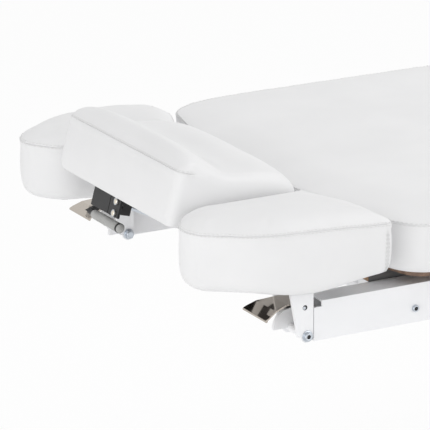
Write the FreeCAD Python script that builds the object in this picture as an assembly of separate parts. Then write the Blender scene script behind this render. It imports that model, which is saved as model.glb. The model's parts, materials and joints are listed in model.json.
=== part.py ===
"""Electric spa table: two lift columns, a motorised backrest, a tilting head cushion and drop-down arm pads.

Millimetres. +X runs from the head end to the foot end, +Y to the table's left side as seen from the foot,
+Z up. The origin is on the floor, under the middle of the table.
"""
import math
import os

import FreeCAD, Part

from FreeCAD import Vector

# Overall sizes
TABLE_LENGTH = 1960.0
TABLE_WIDTH = 750.0
SEAM_Z = 720.0            # height of the seam round an arm pad's top, at rest
BACK_SEAM_DROP = 11.0     # the backrest's and the seat's seam lies this much lower
SOFT_REACH = 75.0         # how far the dip at a soft corner spreads
BACK_SINK = 5.0           # the backrest's seam dips by this much at its two head corners
SEAM_INSET = 3.0          # the seam lies this far inside a cushion's widest line
CUSHION_DEPTH = 81.0      # from the backrest's seam down to its underside
CROWN = 9.0               # how far a cushion's top rises above its seam
SHOULDER = 70.0           # a top rises from its seam over this width
CORNER_STEPS = 8          # flats that make up a cushion's right-angled round corner
CUSHION_GAP = 22.0        # between the backrest and the seat cushion
FIT_GAP = 0.5             # between pieces that move past each other
PIN_CLEARANCE = 0.05      # radial, of a pin in the bore that turns on it

# Where the sections end along X
HEAD_TIP_X = -TABLE_LENGTH / 2
FOOT_END_X = TABLE_LENGTH / 2
HEAD_HINGE_X = HEAD_TIP_X + 240.0
BACK_HEAD_X = HEAD_TIP_X + 259.0
BACK_HINGE_X = HEAD_TIP_X + 865.0
HEAD_HINGE_DROP = 98.0    # hinge axes below their section's seam
BACK_HINGE_DROP = 12.0

# Arm pads and head cushion
HEAD_HALF_WIDTH = 183.0
ARM_INNER_Y = HEAD_HALF_WIDTH + 4.0
ARM_OUTER_Y = TABLE_WIDTH / 2 - 1.0
ARM_FOOT_X = HEAD_TIP_X + 242.0     # where the pad's foot edge meets its inner side
ARM_FOOT_SKEW = 50.0      # the pad's foot edge runs back by this much towards its outer side
ARM_DEPTH = 88.0
ARM_CROWN = 18.0
ARM_SINK = 9.0            # the pad's seam dips by this much at its outer foot corner
ARM_END_LIFT = 14.0       # the rim of the pad's underside rises by this much towards its foot end
HEAD_LENGTH = 215.0
HEAD_SETBACK = 21.0       # from the head hinge to the head cushion's foot end when flat
HEAD_DEPTH = 83.0
HEAD_REST_TILT = 15.7     # degrees above flat, at the upper stop
HEAD_TRAVEL = 40.0        # degrees down from there
HEAD_BOARD = 6.0
HUMP_HEIGHT = 27.0        # the roll at the head cushion's head end
NECK_HEIGHT = 22.0        # the roll at its neck end
VALLEY_HEIGHT = 9.0
HUMP_AT = 0.11            # shares of the head cushion's length, from its head end
VALLEY_AT = 0.40
NECK_AT = 0.80
HEAD_SHOULDER = 28.0      # the head cushion's top rises over this width at its sides
CONTOUR_STEPS = 14
BACK_END_BOW = 60.0       # the backrest's head end runs back by this much at its corners

# Boards under the cushions
BOARD_THICK = 15.0
BOARD_INSET = 45.0
HEAD_BOARD_INSET = 40.0
BATTEN_WIDTH = 18.0

# Frame tubes
RAIL_WIDTH = 40.0
RAIL_HEIGHT = 60.0
RAIL_WALL = 2.5
RAIL_OUTER_Y = TABLE_WIDTH / 2 - 67.5
RAIL_TOP_DROP = 123.5     # rail tops below the seam
CROSS_WIDTH = 40.0
CARRIAGE_TUBE = 50.0
CARRIAGE_Y = 130.0
CARRIAGE_HEAD_X = BACK_HINGE_X - 315.0
CARRIAGE_FOOT_X = FOOT_END_X - 330.0
BUFFER_HEIGHT = 6.0

# Arm brackets
EAR_THICK = 5.0
EAR_INNER_Y = RAIL_OUTER_Y - 58.5   # inner face of the inner ear
BATTEN_Y = EAR_INNER_Y - 6.0        # a batten's outer face
EAR_HEAD_X = HEAD_TIP_X + 150.0
EAR_R = 10.0              # round foot of an ear, about the pivot bolt
ARM_BOARD = 6.0
BRACKET_THICK = 4.0
ARM_PIVOT_X = HEAD_TIP_X + 181.0
ARM_PIVOT_DROP = 174.0
ARM_BOLT_R = 4.0
HUB_R = 6.5
DRUM_R = 30.0             # brake sector on the rail tongue
PADDLE_PIN_X = HEAD_TIP_X + 177.0
PADDLE_PIN_DROP = 130.0
PADDLE_PIN_R = 4.0
PADDLE_HUB_R = 8.0
BRAKE_GAP = 0.4
PADDLE_WIDTH = 66.0
PADDLE_ROOT_WIDTH = 42.0
PADDLE_THICK = 2.5
PADDLE_TIP_X = HEAD_TIP_X + 110.5
PADDLE_TIP_DROP = 139.5

# Lift columns and base
COLUMN_X = (CARRIAGE_HEAD_X + 175.0, CARRIAGE_FOOT_X - 130.0)
COLUMN_LENGTH = 160.0
COLUMN_WIDTH = 120.0
COLUMN_WALL = 4.0
COLUMN_GAP = 2.0
COLUMN_TOP_Z = 425.0
COLLAR_HEIGHT = 12.0
BASE_BEAM_HEIGHT = 40.0
BASE_BEAM_WIDTH = 80.0
BASE_HALF_WIDTH = 320.0
BASE_WALL = 3.0
CAP_THICK = 4.0           # plastic end caps of tubes
CAP_DEPTH = 14.0
CAP_GAP = 0.2
FOOT_HEIGHT = 20.0
FOOT_R = 25.0
FOOT_BEAM_X = (CARRIAGE_HEAD_X - 10.0, CARRIAGE_FOOT_X + 10.0)
MOUNT_PLATE = 8.0

# Backrest actuator and head gas spring
ACT_MAX_TILT = 60.0       # degrees of backrest travel
ACT_FIXED_X = BACK_HINGE_X + 146.0
ACT_FIXED_Z = 497.0
ACT_LUG_Z = 518.0
ACT_PIN_R = 5.0
ACT_TUBE_R = 18.0
ACT_ROD_R = 11.0
ACT_SLOT = 16.0           # free travel of the rod's pin in its lug
ACT_SLOT_GAP = 2.0
GAS_HEAD_X = 176.0        # gas spring's pin on the head section, ahead of the head hinge when flat
GAS_HEAD_DROP = 108.0     # and below the seam
GAS_FIXED_DROP = 205.0    # its pin on the backrest, below the seam
GAS_Y = 94.0
GAS_CYL_R = 9.0
GAS_ROD_R = 4.0
GAS_PIN_R = 4.0
GAS_SLOT = 7.0

# Head release
BLOCK_FRONT = 190.0       # front face, ahead of the head hinge
BLOCK_DROP = 34.0
HOUSING_Y = (67.5, 121.0)
RELEASE_PLATE_Y = (35.0, 66.0)
GRIP_R = 7.0
GRIP_Y = (17.0, 109.0)
GRIP_AHEAD = 188.5
GRIP_DROP = 134.5
LEVER_AHEAD = 158.0
LEVER_DROP = 118.0

# Derived heights
BACK_SEAM_Z = SEAM_Z - BACK_SEAM_DROP
RAIL_TOP_Z = SEAM_Z - RAIL_TOP_DROP
RAIL_LOW_Z = RAIL_TOP_Z - RAIL_HEIGHT
RAIL_INNER_Y = RAIL_OUTER_Y - RAIL_WIDTH
CARRIAGE_TOP_Z = RAIL_LOW_Z - BUFFER_HEIGHT
CARRIAGE_LOW_Z = CARRIAGE_TOP_Z - CARRIAGE_TUBE
CUSHION_LOW_Z = BACK_SEAM_Z - CUSHION_DEPTH
BACK_HINGE = Vector(BACK_HINGE_X, 0, BACK_SEAM_Z - BACK_HINGE_DROP)
HEAD_HINGE = Vector(HEAD_HINGE_X, 0, SEAM_Z - HEAD_HINGE_DROP)
ARM_PIVOT = Vector(ARM_PIVOT_X, 0, SEAM_Z - ARM_PIVOT_DROP)
PADDLE_PIN = Vector(PADDLE_PIN_X, 0, SEAM_Z - PADDLE_PIN_DROP)
RAIL_HEAD_X = ARM_PIVOT_X + EAR_R + 1.2
FIRST_BAR_X = HEAD_HINGE_X + 125.0
BACK_FOOT_X = BACK_HINGE_X - CUSHION_GAP / 2
SEAT_HEAD_X = BACK_HINGE_X + CUSHION_GAP / 2
SIDES = {"left": 1, "right": -1}


def box(x0, x1, y0, y1, z0, z1):
    """A block between two corners, given in any order."""
    return Part.makeBox(abs(x1 - x0), abs(y1 - y0), abs(z1 - z0),
                        Vector(min(x0, x1), min(y0, y1), min(z0, z1)))


def rod_y(r, y0, y1, at):
    """A cylinder along Y through the point at."""
    return Part.makeCylinder(r, abs(y1 - y0), Vector(at.x, min(y0, y1), at.z), Vector(0, 1, 0))


def stub(r, base, direction, sides=12):
    """A short many-sided prism, for small round pieces that repeat."""
    turns = [2 * math.pi * k / sides for k in range(sides)]
    ring = [Vector(r * math.cos(a), r * math.sin(a), 0) for a in turns]
    shape = polygon_face(ring).extrude(Vector(0, 0, direction.Length))
    shape.Placement = FreeCAD.Placement(base, FreeCAD.Rotation(Vector(0, 0, 1), direction))
    return shape


def block_along(x0, x1, half_y, half, at, along):
    """A block set out along a direction in the XZ plane, from x0 to x1 past the point at."""
    shape = box(x0, x1, -half_y, half_y, -half, half)
    shape.Placement = FreeCAD.Placement(at, FreeCAD.Rotation(Vector(1, 0, 0), along))
    return shape


def rod_between(r, a, b):
    return Part.makeCylinder(r, (b - a).Length, a, b - a)


def fuse(shapes):
    """One clean solid from several that touch or overlap."""
    whole = shapes[0].multiFuse(shapes[1:]) if len(shapes) > 1 else shapes[0]
    return whole.removeSplitter()


def plate_xz(points, y0, y1):
    """A plate cut to an outline in X and Z, between two Y faces."""
    low = min(y0, y1)
    ring = [Vector(x, low, z) for x, z in points]
    return polygon_face(ring).extrude(Vector(0, abs(y1 - y0), 0))


def rounded_outline(points, radii, inset, z):
    """The points of a convex outline in plan, counter-clockwise, moved in by inset, its corners rounded."""
    count = len(points)
    lines = []
    for i in range(count):
        a = Vector(*points[i], 0)
        b = Vector(*points[(i + 1) % count], 0)
        along = (b - a).normalize()
        inward = Vector(-along.y, along.x, 0)
        lines.append((a + inward * inset, along))
    corners = []
    for i in range(count):
        (p, d), (q, e) = lines[i - 1], lines[i]
        cross = d.x * e.y - d.y * e.x
        t = ((q.x - p.x) * e.y - (q.y - p.y) * e.x) / cross
        corners.append((p + d * t, d, e))
    ring = []
    for (c, d, e), radius in zip(corners, radii):
        r = max(radius - inset, 2.0)
        turn = d.getAngle(e)
        centre = c + (e - d).normalize() * (r / math.cos(turn / 2))
        first = c - d * (r * math.tan(turn / 2)) - centre
        steps = max(2, round(CORNER_STEPS * turn / (math.pi / 2)))
        for k in range(steps + 1):
            a = turn * k / steps
            ring.append(centre + Vector(first.x * math.cos(a) - first.y * math.sin(a),
                                        first.x * math.sin(a) + first.y * math.cos(a), z))
    return ring


def polygon_face(ring):
    return Part.Face(Part.makePolygon(ring + ring[:1]))


def skin(rings):
    """A loft with flat faces through closed rings of points, the last one closed by a fan."""
    faces = [polygon_face(rings[0])]
    top = rings[-1]
    middle = sum(top, Vector()) * (1.0 / len(top))
    faces += [polygon_face([top[i - 1], top[i], middle]) for i in range(len(top))]
    for low, high in zip(rings, rings[1:]):
        for i in range(len(low)):
            faces.append(polygon_face([low[i - 1], low[i], high[i]]))
            faces.append(polygon_face([low[i - 1], high[i], high[i - 1]]))
    solid = Part.Solid(Part.Shell(faces))
    return solid if solid.Volume > 0 else solid.reversed()


def sunk(ring, rise, corners, sink):
    """The ring with its points let down towards the soft corners, and its rise halved there."""
    low = []
    for p in ring:
        near = max(math.exp(-((p.x - x) ** 2 + (p.y - y) ** 2) / SOFT_REACH ** 2) for x, y in corners)
        low.append(p - Vector(0, 0, near * (sink + rise / 2)))
    return low


def cushion(points, radii, depth, seam_z, crown, shoulder, rim_lift=None, corners=(), sink=0.0):
    """An upholstered pad: drawn-in foot, bulged sides, a seam and a top that rises over its shoulder.

    Where rim_lift is given, it says by X how far the rim of the underside is drawn up.
    The seam and the top dip by sink at the corners named.
    """
    levels = [
        (16.0, -depth),
        (5.0, -depth + 12.0),
        (0.5, -depth * 0.62),
        (0.0, -depth * 0.38),
        (SEAM_INSET, 0.0),
        (shoulder * 0.22, crown * 0.5),
        (shoulder * 0.55, crown * 0.85),
        (shoulder, crown),
    ]
    rings = [rounded_outline(points, radii, inset, seam_z + rise) for inset, rise in levels]
    if corners:
        rings[4:] = [sunk(ring, rise, corners, sink) for ring, (inset, rise) in zip(rings[4:], levels[4:])]
    if rim_lift:
        for k in (0, 1):
            rings[k] = [p + Vector(0, 0, rim_lift(p.x)) for p in rings[k]]
        rings.insert(0, rounded_outline(points, radii, shoulder, seam_z - depth))
    return skin(rings)


def upright_edges(shape):
    return [e for e in shape.Edges if abs(e.tangentAt(e.FirstParameter).z) > 0.9]


def tube_x(x0, x1, y0, y1, z0, z1, wall):
    """A rectangular tube along X, open at both ends."""
    return box(x0, x1, y0, y1, z0, z1).cut(box(x0, x1, y0 + wall, y1 - wall, z0 + wall, z1 - wall))


def tube_y(x0, x1, y0, y1, z0, z1, wall):
    return box(x0, x1, y0, y1, z0, z1).cut(box(x0 + wall, x1 - wall, y0, y1, z0 + wall, z1 - wall))


def mirrored(shape):
    return shape.mirror(Vector(0, 0, 0), Vector(0, 1, 0))


def both_sides(shape):
    """The piece on the left side and its mirror image, as two solids."""
    return Part.makeCompound([shape, mirrored(shape)])


def tilted_head(shape):
    """Turns a piece of the head section from flat to its angle at rest."""
    turned = shape.copy()
    turned.rotate(HEAD_HINGE, Vector(0, 1, 0), HEAD_REST_TILT)
    return turned


def head_point(x, z):
    """Where a point of the flat head section lies at rest."""
    a = math.radians(HEAD_REST_TILT)
    dx, dz = x - HEAD_HINGE.x, z - HEAD_HINGE.z
    return Vector(HEAD_HINGE.x + dx * math.cos(a) + dz * math.sin(a), 0,
                  HEAD_HINGE.z - dx * math.sin(a) + dz * math.cos(a))


# Cushion outlines, counter-clockwise in plan

def arm_outline():
    """The left arm pad's plan: a straight inner side, a round head end and a bowed, skewed foot edge."""
    span = ARM_OUTER_Y - ARM_INNER_Y
    foot_x = ARM_FOOT_X + ARM_FOOT_SKEW
    bowed = (foot_x - ARM_FOOT_SKEW * 0.17, ARM_INNER_Y + span * 0.551)
    foot = [(ARM_FOOT_X, ARM_INNER_Y), bowed, (foot_x, ARM_OUTER_Y)]
    round_end = [(0.449, 0.845), (0.059, 0.561), (-0.029, 0.353), (0.198, 0.0)]
    head = [(HEAD_TIP_X + span * u, ARM_INNER_Y + span * v) for u, v in round_end]
    return foot + head, [14.0, span, 12.0, span * 0.8, span * 0.18, span * 0.267, span * 0.374]


def back_outline():
    half = TABLE_WIDTH / 2
    head_x = BACK_HEAD_X
    flat = HEAD_HALF_WIDTH - 16.0
    return ([(head_x, flat), (head_x, -flat), (head_x + BACK_END_BOW, -half), (BACK_FOOT_X, -half),
             (BACK_FOOT_X, half), (head_x + BACK_END_BOW, half)],
            [500.0, 500.0, 80.0, 30.0, 30.0, 80.0])


def seat_outline():
    half = TABLE_WIDTH / 2
    return ([(SEAT_HEAD_X, -half), (FOOT_END_X, -half), (FOOT_END_X, half), (SEAT_HEAD_X, half)],
            [30.0, 90.0, 90.0, 30.0])


def head_outline():
    foot_x = HEAD_HINGE_X - HEAD_SETBACK
    return ([(foot_x - HEAD_LENGTH, -HEAD_HALF_WIDTH), (foot_x, -HEAD_HALF_WIDTH),
             (foot_x, HEAD_HALF_WIDTH), (foot_x - HEAD_LENGTH, HEAD_HALF_WIDTH)],
            [12.0, 14.0, 14.0, 12.0])


# Base and lift columns

def build_base():
    nodes = {}
    low = FOOT_HEIGHT
    top = low + BASE_BEAM_HEIGHT
    half = BASE_BEAM_WIDTH / 2
    beams = [tube_y(x - half, x + half, -BASE_HALF_WIDTH, BASE_HALF_WIDTH, low, top, BASE_WALL)
             for x in FOOT_BEAM_X]
    nodes["base_foot_beams"] = Part.makeCompound(beams)
    caps = []
    inside = BASE_WALL + CAP_GAP
    for x in FOOT_BEAM_X:
        for side in SIDES.values():
            face = side * BASE_HALF_WIDTH
            plug = box(x - half + inside, x + half - inside, face, face - side * CAP_DEPTH,
                       low + inside, top - inside)
            caps.append(fuse([box(x - half, x + half, face, face + side * CAP_THICK, low, top), plug]))
    nodes["base_end_caps"] = Part.makeCompound(caps)
    spine_x0, spine_x1 = FOOT_BEAM_X[0] + half, FOOT_BEAM_X[1] - half
    spine_y = COLUMN_WIDTH / 2
    nodes["base_spine"] = tube_x(spine_x0, spine_x1, -spine_y, spine_y, low, top, BASE_WALL)
    feet = []
    for x in FOOT_BEAM_X:
        for side in SIDES.values():
            feet.append(stub(FOOT_R, Vector(x, side * (BASE_HALF_WIDTH - 40.0), 0), Vector(0, 0, low)))
    nodes["levelling_feet"] = Part.makeCompound(feet)
    outers, plates, collars = [], [], []
    collar_top = COLUMN_TOP_Z + COLLAR_HEIGHT
    for x in COLUMN_X:
        a, b = COLUMN_LENGTH / 2, COLUMN_WIDTH / 2
        w = COLUMN_WALL
        floor_z = top + MOUNT_PLATE
        outer = box(x - a, x + a, -b, b, floor_z, COLUMN_TOP_Z)
        outer = outer.makeFillet(8.0, upright_edges(outer))
        outers.append(outer.cut(box(x - a + w, x + a - w, -b + w, b - w, floor_z, COLUMN_TOP_Z)))
        plates.append(box(x - a - 20.0, x + a + 20.0, -b - 20.0, b + 20.0, top, floor_z))
        g = w + COLUMN_GAP
        collar = box(x - a, x + a, -b, b, COLUMN_TOP_Z, collar_top)
        collar = collar.makeChamfer(5.0, upright_edges(collar))
        h = g - FIT_GAP
        collars.append(collar.cut(box(x - a + h, x + a - h, -b + h, b - h, COLUMN_TOP_Z, collar_top)))
    nodes["lift_column_outers"] = Part.makeCompound(outers)
    nodes["column_base_plates"] = Part.makeCompound(plates)
    nodes["column_glide_collars"] = Part.makeCompound(collars)
    return nodes


# Carriage on the columns, seat and leg deck

def build_carriage():
    nodes = {}
    inners, tops = [], []
    for x in COLUMN_X:
        a = COLUMN_LENGTH / 2 - COLUMN_WALL - COLUMN_GAP
        b = COLUMN_WIDTH / 2 - COLUMN_WALL - COLUMN_GAP
        low, top = 120.0, CARRIAGE_LOW_Z - MOUNT_PLATE
        w = COLUMN_WALL
        inner = box(x - a, x + a, -b, b, low, top)
        inners.append(inner.cut(box(x - a + w, x + a - w, -b + w, b - w, low, top)))
        tops.append(box(x - 90.0, x + 90.0, -CARRIAGE_Y - 25.0, CARRIAGE_Y + 25.0, top, CARRIAGE_LOW_Z))
    nodes["lift_column_inners"] = Part.makeCompound(inners)
    nodes["column_top_plates"] = Part.makeCompound(tops)
    half = CARRIAGE_TUBE / 2
    tube = tube_x(CARRIAGE_HEAD_X, CARRIAGE_FOOT_X, CARRIAGE_Y - half, CARRIAGE_Y + half,
                  CARRIAGE_LOW_Z, CARRIAGE_TOP_Z, 3.0)
    nodes["carriage_tubes"] = both_sides(tube)
    cross_y = CARRIAGE_Y - half
    bar_x = ACT_FIXED_X + 45.0
    crosses = [tube_y(x, x + CROSS_WIDTH, -cross_y, cross_y, CARRIAGE_LOW_Z, CARRIAGE_TOP_Z, 3.0)
               for x in (CARRIAGE_HEAD_X, bar_x, CARRIAGE_FOOT_X - CROSS_WIDTH)]
    fixed = Vector(ACT_FIXED_X, 0, ACT_FIXED_Z)
    tail = [crosses[1], rod_y(ACT_PIN_R, -26.0, 26.0, fixed)]
    for side in SIDES.values():
        y0, y1 = side * 16.0, side * 22.0
        tail.append(box(ACT_FIXED_X - 12.0, bar_x, y0, y1, ACT_FIXED_Z - 12.0, ACT_FIXED_Z + 12.0))
    nodes["carriage_cross_tubes"] = Part.makeCompound([crosses[0], fuse(tail), crosses[2]])
    buffer_x = lug_point().x - CROSS_WIDTH / 2 + 4.0
    height = Vector(0, 0, BUFFER_HEIGHT - FIT_GAP)
    buffers = [stub(12.0, Vector(buffer_x, side * CARRIAGE_Y, CARRIAGE_TOP_Z), height)
               for side in SIDES.values()]
    nodes["backrest_buffers"] = Part.makeCompound(buffers)

    rail_x0, rail_x1 = SEAT_HEAD_X + 4.0, FOOT_END_X - 90.0
    rail = tube_x(rail_x0, rail_x1, RAIL_INNER_Y, RAIL_OUTER_Y, RAIL_LOW_Z, RAIL_TOP_Z, RAIL_WALL)
    nodes["seat_rails"] = both_sides(rail)
    inside = RAIL_WALL + CAP_GAP
    cap = fuse([box(rail_x1, rail_x1 + CAP_THICK, RAIL_INNER_Y, RAIL_OUTER_Y, RAIL_LOW_Z, RAIL_TOP_Z),
                box(rail_x1 - CAP_DEPTH, rail_x1, RAIL_INNER_Y + inside, RAIL_OUTER_Y - inside,
                    RAIL_LOW_Z + inside, RAIL_TOP_Z - inside)])
    nodes["seat_rail_caps"] = both_sides(cap)
    frame_x1 = FOOT_END_X - 130.0
    span = frame_x1 - rail_x0
    bar_xs = (bar_x, rail_x0 + span * 0.4, rail_x0 + span * 0.66, frame_x1 - CROSS_WIDTH)
    bars = [tube_y(x, x + CROSS_WIDTH, -RAIL_INNER_Y, RAIL_INNER_Y, CARRIAGE_TOP_Z, RAIL_TOP_Z, RAIL_WALL)
            for x in bar_xs]
    nodes["seat_cross_tubes"] = Part.makeCompound(bars)
    nodes["seat_cushion"] = cushion(*seat_outline(), CUSHION_DEPTH, BACK_SEAM_Z, CROWN, SHOULDER)
    points, radii = seat_outline()
    board = polygon_face(rounded_outline(points, radii, BOARD_INSET, CUSHION_LOW_Z - BOARD_THICK))
    nodes["seat_board"] = board.extrude(Vector(0, 0, BOARD_THICK))
    batten_low = RAIL_TOP_Z
    batten = box(SEAT_HEAD_X + BOARD_INSET, frame_x1, BATTEN_Y - BATTEN_WIDTH, BATTEN_Y,
                 batten_low, CUSHION_LOW_Z - BOARD_THICK)
    nodes["seat_battens"] = both_sides(batten)

    lug_y0, lug_y1 = RAIL_INNER_Y - 13.5, RAIL_INNER_Y - 7.5
    r = CUSHION_GAP / 2 - 1.0
    lug = fuse([
        rod_y(r, lug_y0, lug_y1, BACK_HINGE),
        box(BACK_HINGE_X - r, BACK_HINGE_X + r, lug_y0, lug_y1, RAIL_LOW_Z, BACK_HINGE.z),
        box(BACK_HINGE_X - r, BACK_HINGE_X + 55.0, lug_y0, lug_y1, RAIL_LOW_Z, RAIL_TOP_Z),
        box(rail_x0, BACK_HINGE_X + 55.0, lug_y1, RAIL_INNER_Y, RAIL_LOW_Z, RAIL_TOP_Z),
        rod_y(6.0, lug_y0, RAIL_INNER_Y + 2.0, BACK_HINGE),
    ])
    nodes["backrest_hinge_lugs"] = both_sides(lug)
    box_x0, box_x1 = bar_xs[1] + CROSS_WIDTH + 20.0, bar_xs[2] - 22.0
    board_low = CUSHION_LOW_Z - BOARD_THICK
    control = box(box_x0, box_x1, -95.0, 95.0, RAIL_LOW_Z + 8.0, board_low)
    control = control.makeFillet(6.0, upright_edges(control))
    inlet_z = (RAIL_LOW_Z + RAIL_TOP_Z) / 2
    pocket = box(box_x1 - 20.0, box_x1, -14.0, 14.0, inlet_z - 10.0, inlet_z + 10.0)
    nodes["control_box"] = control.cut(pocket)
    rim = box(box_x1 - 20.0, box_x1 + 2.0, -14.0, 14.0, inlet_z - 10.0, inlet_z + 10.0).fuse(
        box(box_x1, box_x1 + 2.0, -18.0, 18.0, inlet_z - 14.0, inlet_z + 14.0)).removeSplitter()
    rim = rim.cut(box(box_x1 - 16.0, box_x1 + 2.0, -11.0, 11.0, inlet_z - 7.0, inlet_z + 7.0))
    nodes["mains_inlet"] = rim
    return nodes


# Backrest

def rotated(vector, degrees):
    """A direction turned about Y, positive lifting the head side."""
    a = math.radians(degrees)
    return Vector(vector.x * math.cos(a) + vector.z * math.sin(a), 0,
                  -vector.x * math.sin(a) + vector.z * math.cos(a))


def slot_cut(r, start, end, y0, y1):
    """The space of a round-ended slot between two points."""
    along = (end - start).normalize()
    across = rotated(along, 90.0) * r
    corners = [start + across, end + across, end - across, start - across]
    return fuse([rod_y(r, y0, y1, start), rod_y(r, y0, y1, end),
                 plate_xz([(c.x, c.z) for c in corners], y0, y1)])


def build_backrest():
    nodes = {}
    rail = tube_x(RAIL_HEAD_X, BACK_FOOT_X - 4.0, RAIL_INNER_Y, RAIL_OUTER_Y, RAIL_LOW_Z, RAIL_TOP_Z,
                  RAIL_WALL)
    notch = box(RAIL_HEAD_X, RAIL_HEAD_X + 13.0, RAIL_INNER_Y + 6.0, RAIL_OUTER_Y,
                RAIL_TOP_Z - 9.0, RAIL_TOP_Z)
    rail = rail.cut(notch)
    nodes["backrest_rail_left"] = rail
    nodes["backrest_rail_right"] = mirrored(rail)
    nodes["backrest_cross_tubes"] = Part.makeCompound([head_bar(), actuator_bar()])
    points, radii = back_outline()
    nodes["backrest_cushion"] = cushion(points, radii, CUSHION_DEPTH, BACK_SEAM_Z, CROWN, SHOULDER,
                                        corners=(points[2], points[5]), sink=BACK_SINK)
    board_low = CUSHION_LOW_Z - BOARD_THICK
    board = polygon_face(rounded_outline(points, radii, BOARD_INSET, board_low))
    nodes["backrest_board"] = board.extrude(Vector(0, 0, BOARD_THICK))
    batten = box(BACK_HEAD_X + 54.0, BACK_FOOT_X - BOARD_INSET, BATTEN_Y - BATTEN_WIDTH, BATTEN_Y,
                 RAIL_TOP_Z, board_low)
    nodes["backrest_battens"] = both_sides(batten)
    plate_y0, plate_y1 = RAIL_INNER_Y - 6.0, RAIL_INNER_Y
    r = CUSHION_GAP / 2 - 1.0
    plate = fuse([
        rod_y(r, plate_y0, plate_y1, BACK_HINGE),
        box(BACK_HINGE_X - r, BACK_HINGE_X + r, plate_y0, plate_y1, RAIL_LOW_Z, BACK_HINGE.z),
        box(BACK_HINGE_X - 55.0, BACK_HINGE_X + r, plate_y0, plate_y1, RAIL_LOW_Z, RAIL_TOP_Z),
    ]).cut(rod_y(6.0 + PIN_CLEARANCE, plate_y0, plate_y1, BACK_HINGE))
    nodes["backrest_hinge_plates"] = both_sides(plate)

    # A tongue in each rail's head end carries the hub and the brake sector of an arm pad
    hub_y0, hub_y1 = EAR_INNER_Y + EAR_THICK + FIT_GAP, RAIL_OUTER_Y - EAR_THICK - FIT_GAP
    bar_y0, bar_y1 = RAIL_INNER_Y + RAIL_WALL, RAIL_OUTER_Y - EAR_THICK - 2.0
    bar_low = RAIL_LOW_Z + RAIL_WALL
    tongue = box(ARM_PIVOT.x, RAIL_HEAD_X + 60.0, bar_y0, bar_y1, bar_low, ARM_PIVOT.z + HUB_R)
    sector = rod_y(DRUM_R, hub_y0 + 1.5, hub_y0 + 7.5, ARM_PIVOT).common(
        box(ARM_PIVOT.x - DRUM_R, ARM_PIVOT.x + EAR_R, hub_y0, hub_y1, ARM_PIVOT.z, ARM_PIVOT.z + DRUM_R))
    tongue = fuse([tongue, rod_y(HUB_R, hub_y0, hub_y1, ARM_PIVOT), sector])
    bore = rod_y(ARM_BOLT_R + PIN_CLEARANCE, hub_y0, hub_y1, ARM_PIVOT)
    nodes["arm_tongues"] = both_sides(tongue.cut(bore))

    screws = []
    for x in (RAIL_HEAD_X + 172.0, BACK_FOOT_X - 80.0):
        for sign in SIDES.values():
            at = Vector(x, 0, (RAIL_TOP_Z + RAIL_LOW_Z) / 2 - 8.0)
            screws.append(stub(5.5, at + Vector(0, sign * RAIL_OUTER_Y, 0), Vector(0, sign * 3.0, 0)))
    nodes["rail_screws"] = Part.makeCompound(screws)

    return nodes


def head_bar():
    """The backrest's first cross tube, with the lugs and pins of the head hinge and of the gas spring."""
    bar = tube_y(FIRST_BAR_X, FIRST_BAR_X + CROSS_WIDTH, -RAIL_INNER_Y, RAIL_INNER_Y, RAIL_LOW_Z, RAIL_TOP_Z,
                 RAIL_WALL)
    lug_y0, lug_y1 = 140.0, 146.0
    lug = fuse([
        plate_xz([(HEAD_HINGE.x + 4.0, HEAD_HINGE.z + 8.0), (HEAD_HINGE.x - 4.0, HEAD_HINGE.z + 8.0),
                  (HEAD_HINGE.x - 8.0, HEAD_HINGE.z), (HEAD_HINGE.x - 4.0, HEAD_HINGE.z - 8.0),
                  (FIRST_BAR_X, RAIL_LOW_Z + 12.0), (FIRST_BAR_X, RAIL_TOP_Z - 14.0)], lug_y0, lug_y1),
        rod_y(5.0, lug_y0 - 10.0, lug_y1, HEAD_HINGE),
    ])
    fixed = gas_fixed_point()
    ears = [rod_y(GAS_PIN_R, GAS_Y - GAS_CYL_R - 7.0, GAS_Y + GAS_CYL_R + 7.0, fixed)]
    for sign in SIDES.values():
        y0, y1 = GAS_Y + sign * (GAS_CYL_R + 1.0), GAS_Y + sign * (GAS_CYL_R + 5.0)
        ears.append(box(fixed.x - 9.0, fixed.x + 9.0, y0, y1, fixed.z - 9.0, RAIL_LOW_Z))
    return fuse([bar, lug, mirrored(lug)] + ears)


def actuator_bar():
    """The second cross tube with the actuator's slotted lug.

    The rod's pin slides a little in the lug, because the actuator is driven in proportion to the tilt.
    """
    lug_at = lug_point()
    bar_x1 = lug_at.x + 4.0
    bar = tube_y(bar_x1 - CROSS_WIDTH, bar_x1, -RAIL_INNER_Y, RAIL_INNER_Y, RAIL_LOW_Z, RAIL_TOP_Z, RAIL_WALL)
    inward = (Vector(ACT_FIXED_X, 0, ACT_FIXED_Z) - lug_at).normalize()
    slot_end = lug_at + rotated(inward, -ACT_MAX_TILT / 4) * ACT_SLOT
    ears = []
    for sign in SIDES.values():
        ear = box(lug_at.x - 32.0, lug_at.x + 32.0, sign * 15.0, sign * 21.0, lug_at.z - 14.0, RAIL_LOW_Z)
        ears.append(ear.cut(slot_cut(ACT_PIN_R + ACT_SLOT_GAP, lug_at, slot_end, sign * 15.0, sign * 21.0)))
    return fuse([bar] + ears)


# Backrest actuator: its two pins stand at the same distance from the backrest hinge

def lug_point():
    """The actuator's pin on the backrest."""
    fixed = Vector(ACT_FIXED_X, 0, ACT_FIXED_Z)
    reach = (fixed - BACK_HINGE).Length
    drop = BACK_HINGE.z - ACT_LUG_Z
    return Vector(BACK_HINGE.x - math.sqrt(reach ** 2 - drop ** 2), 0, ACT_LUG_Z)


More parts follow.
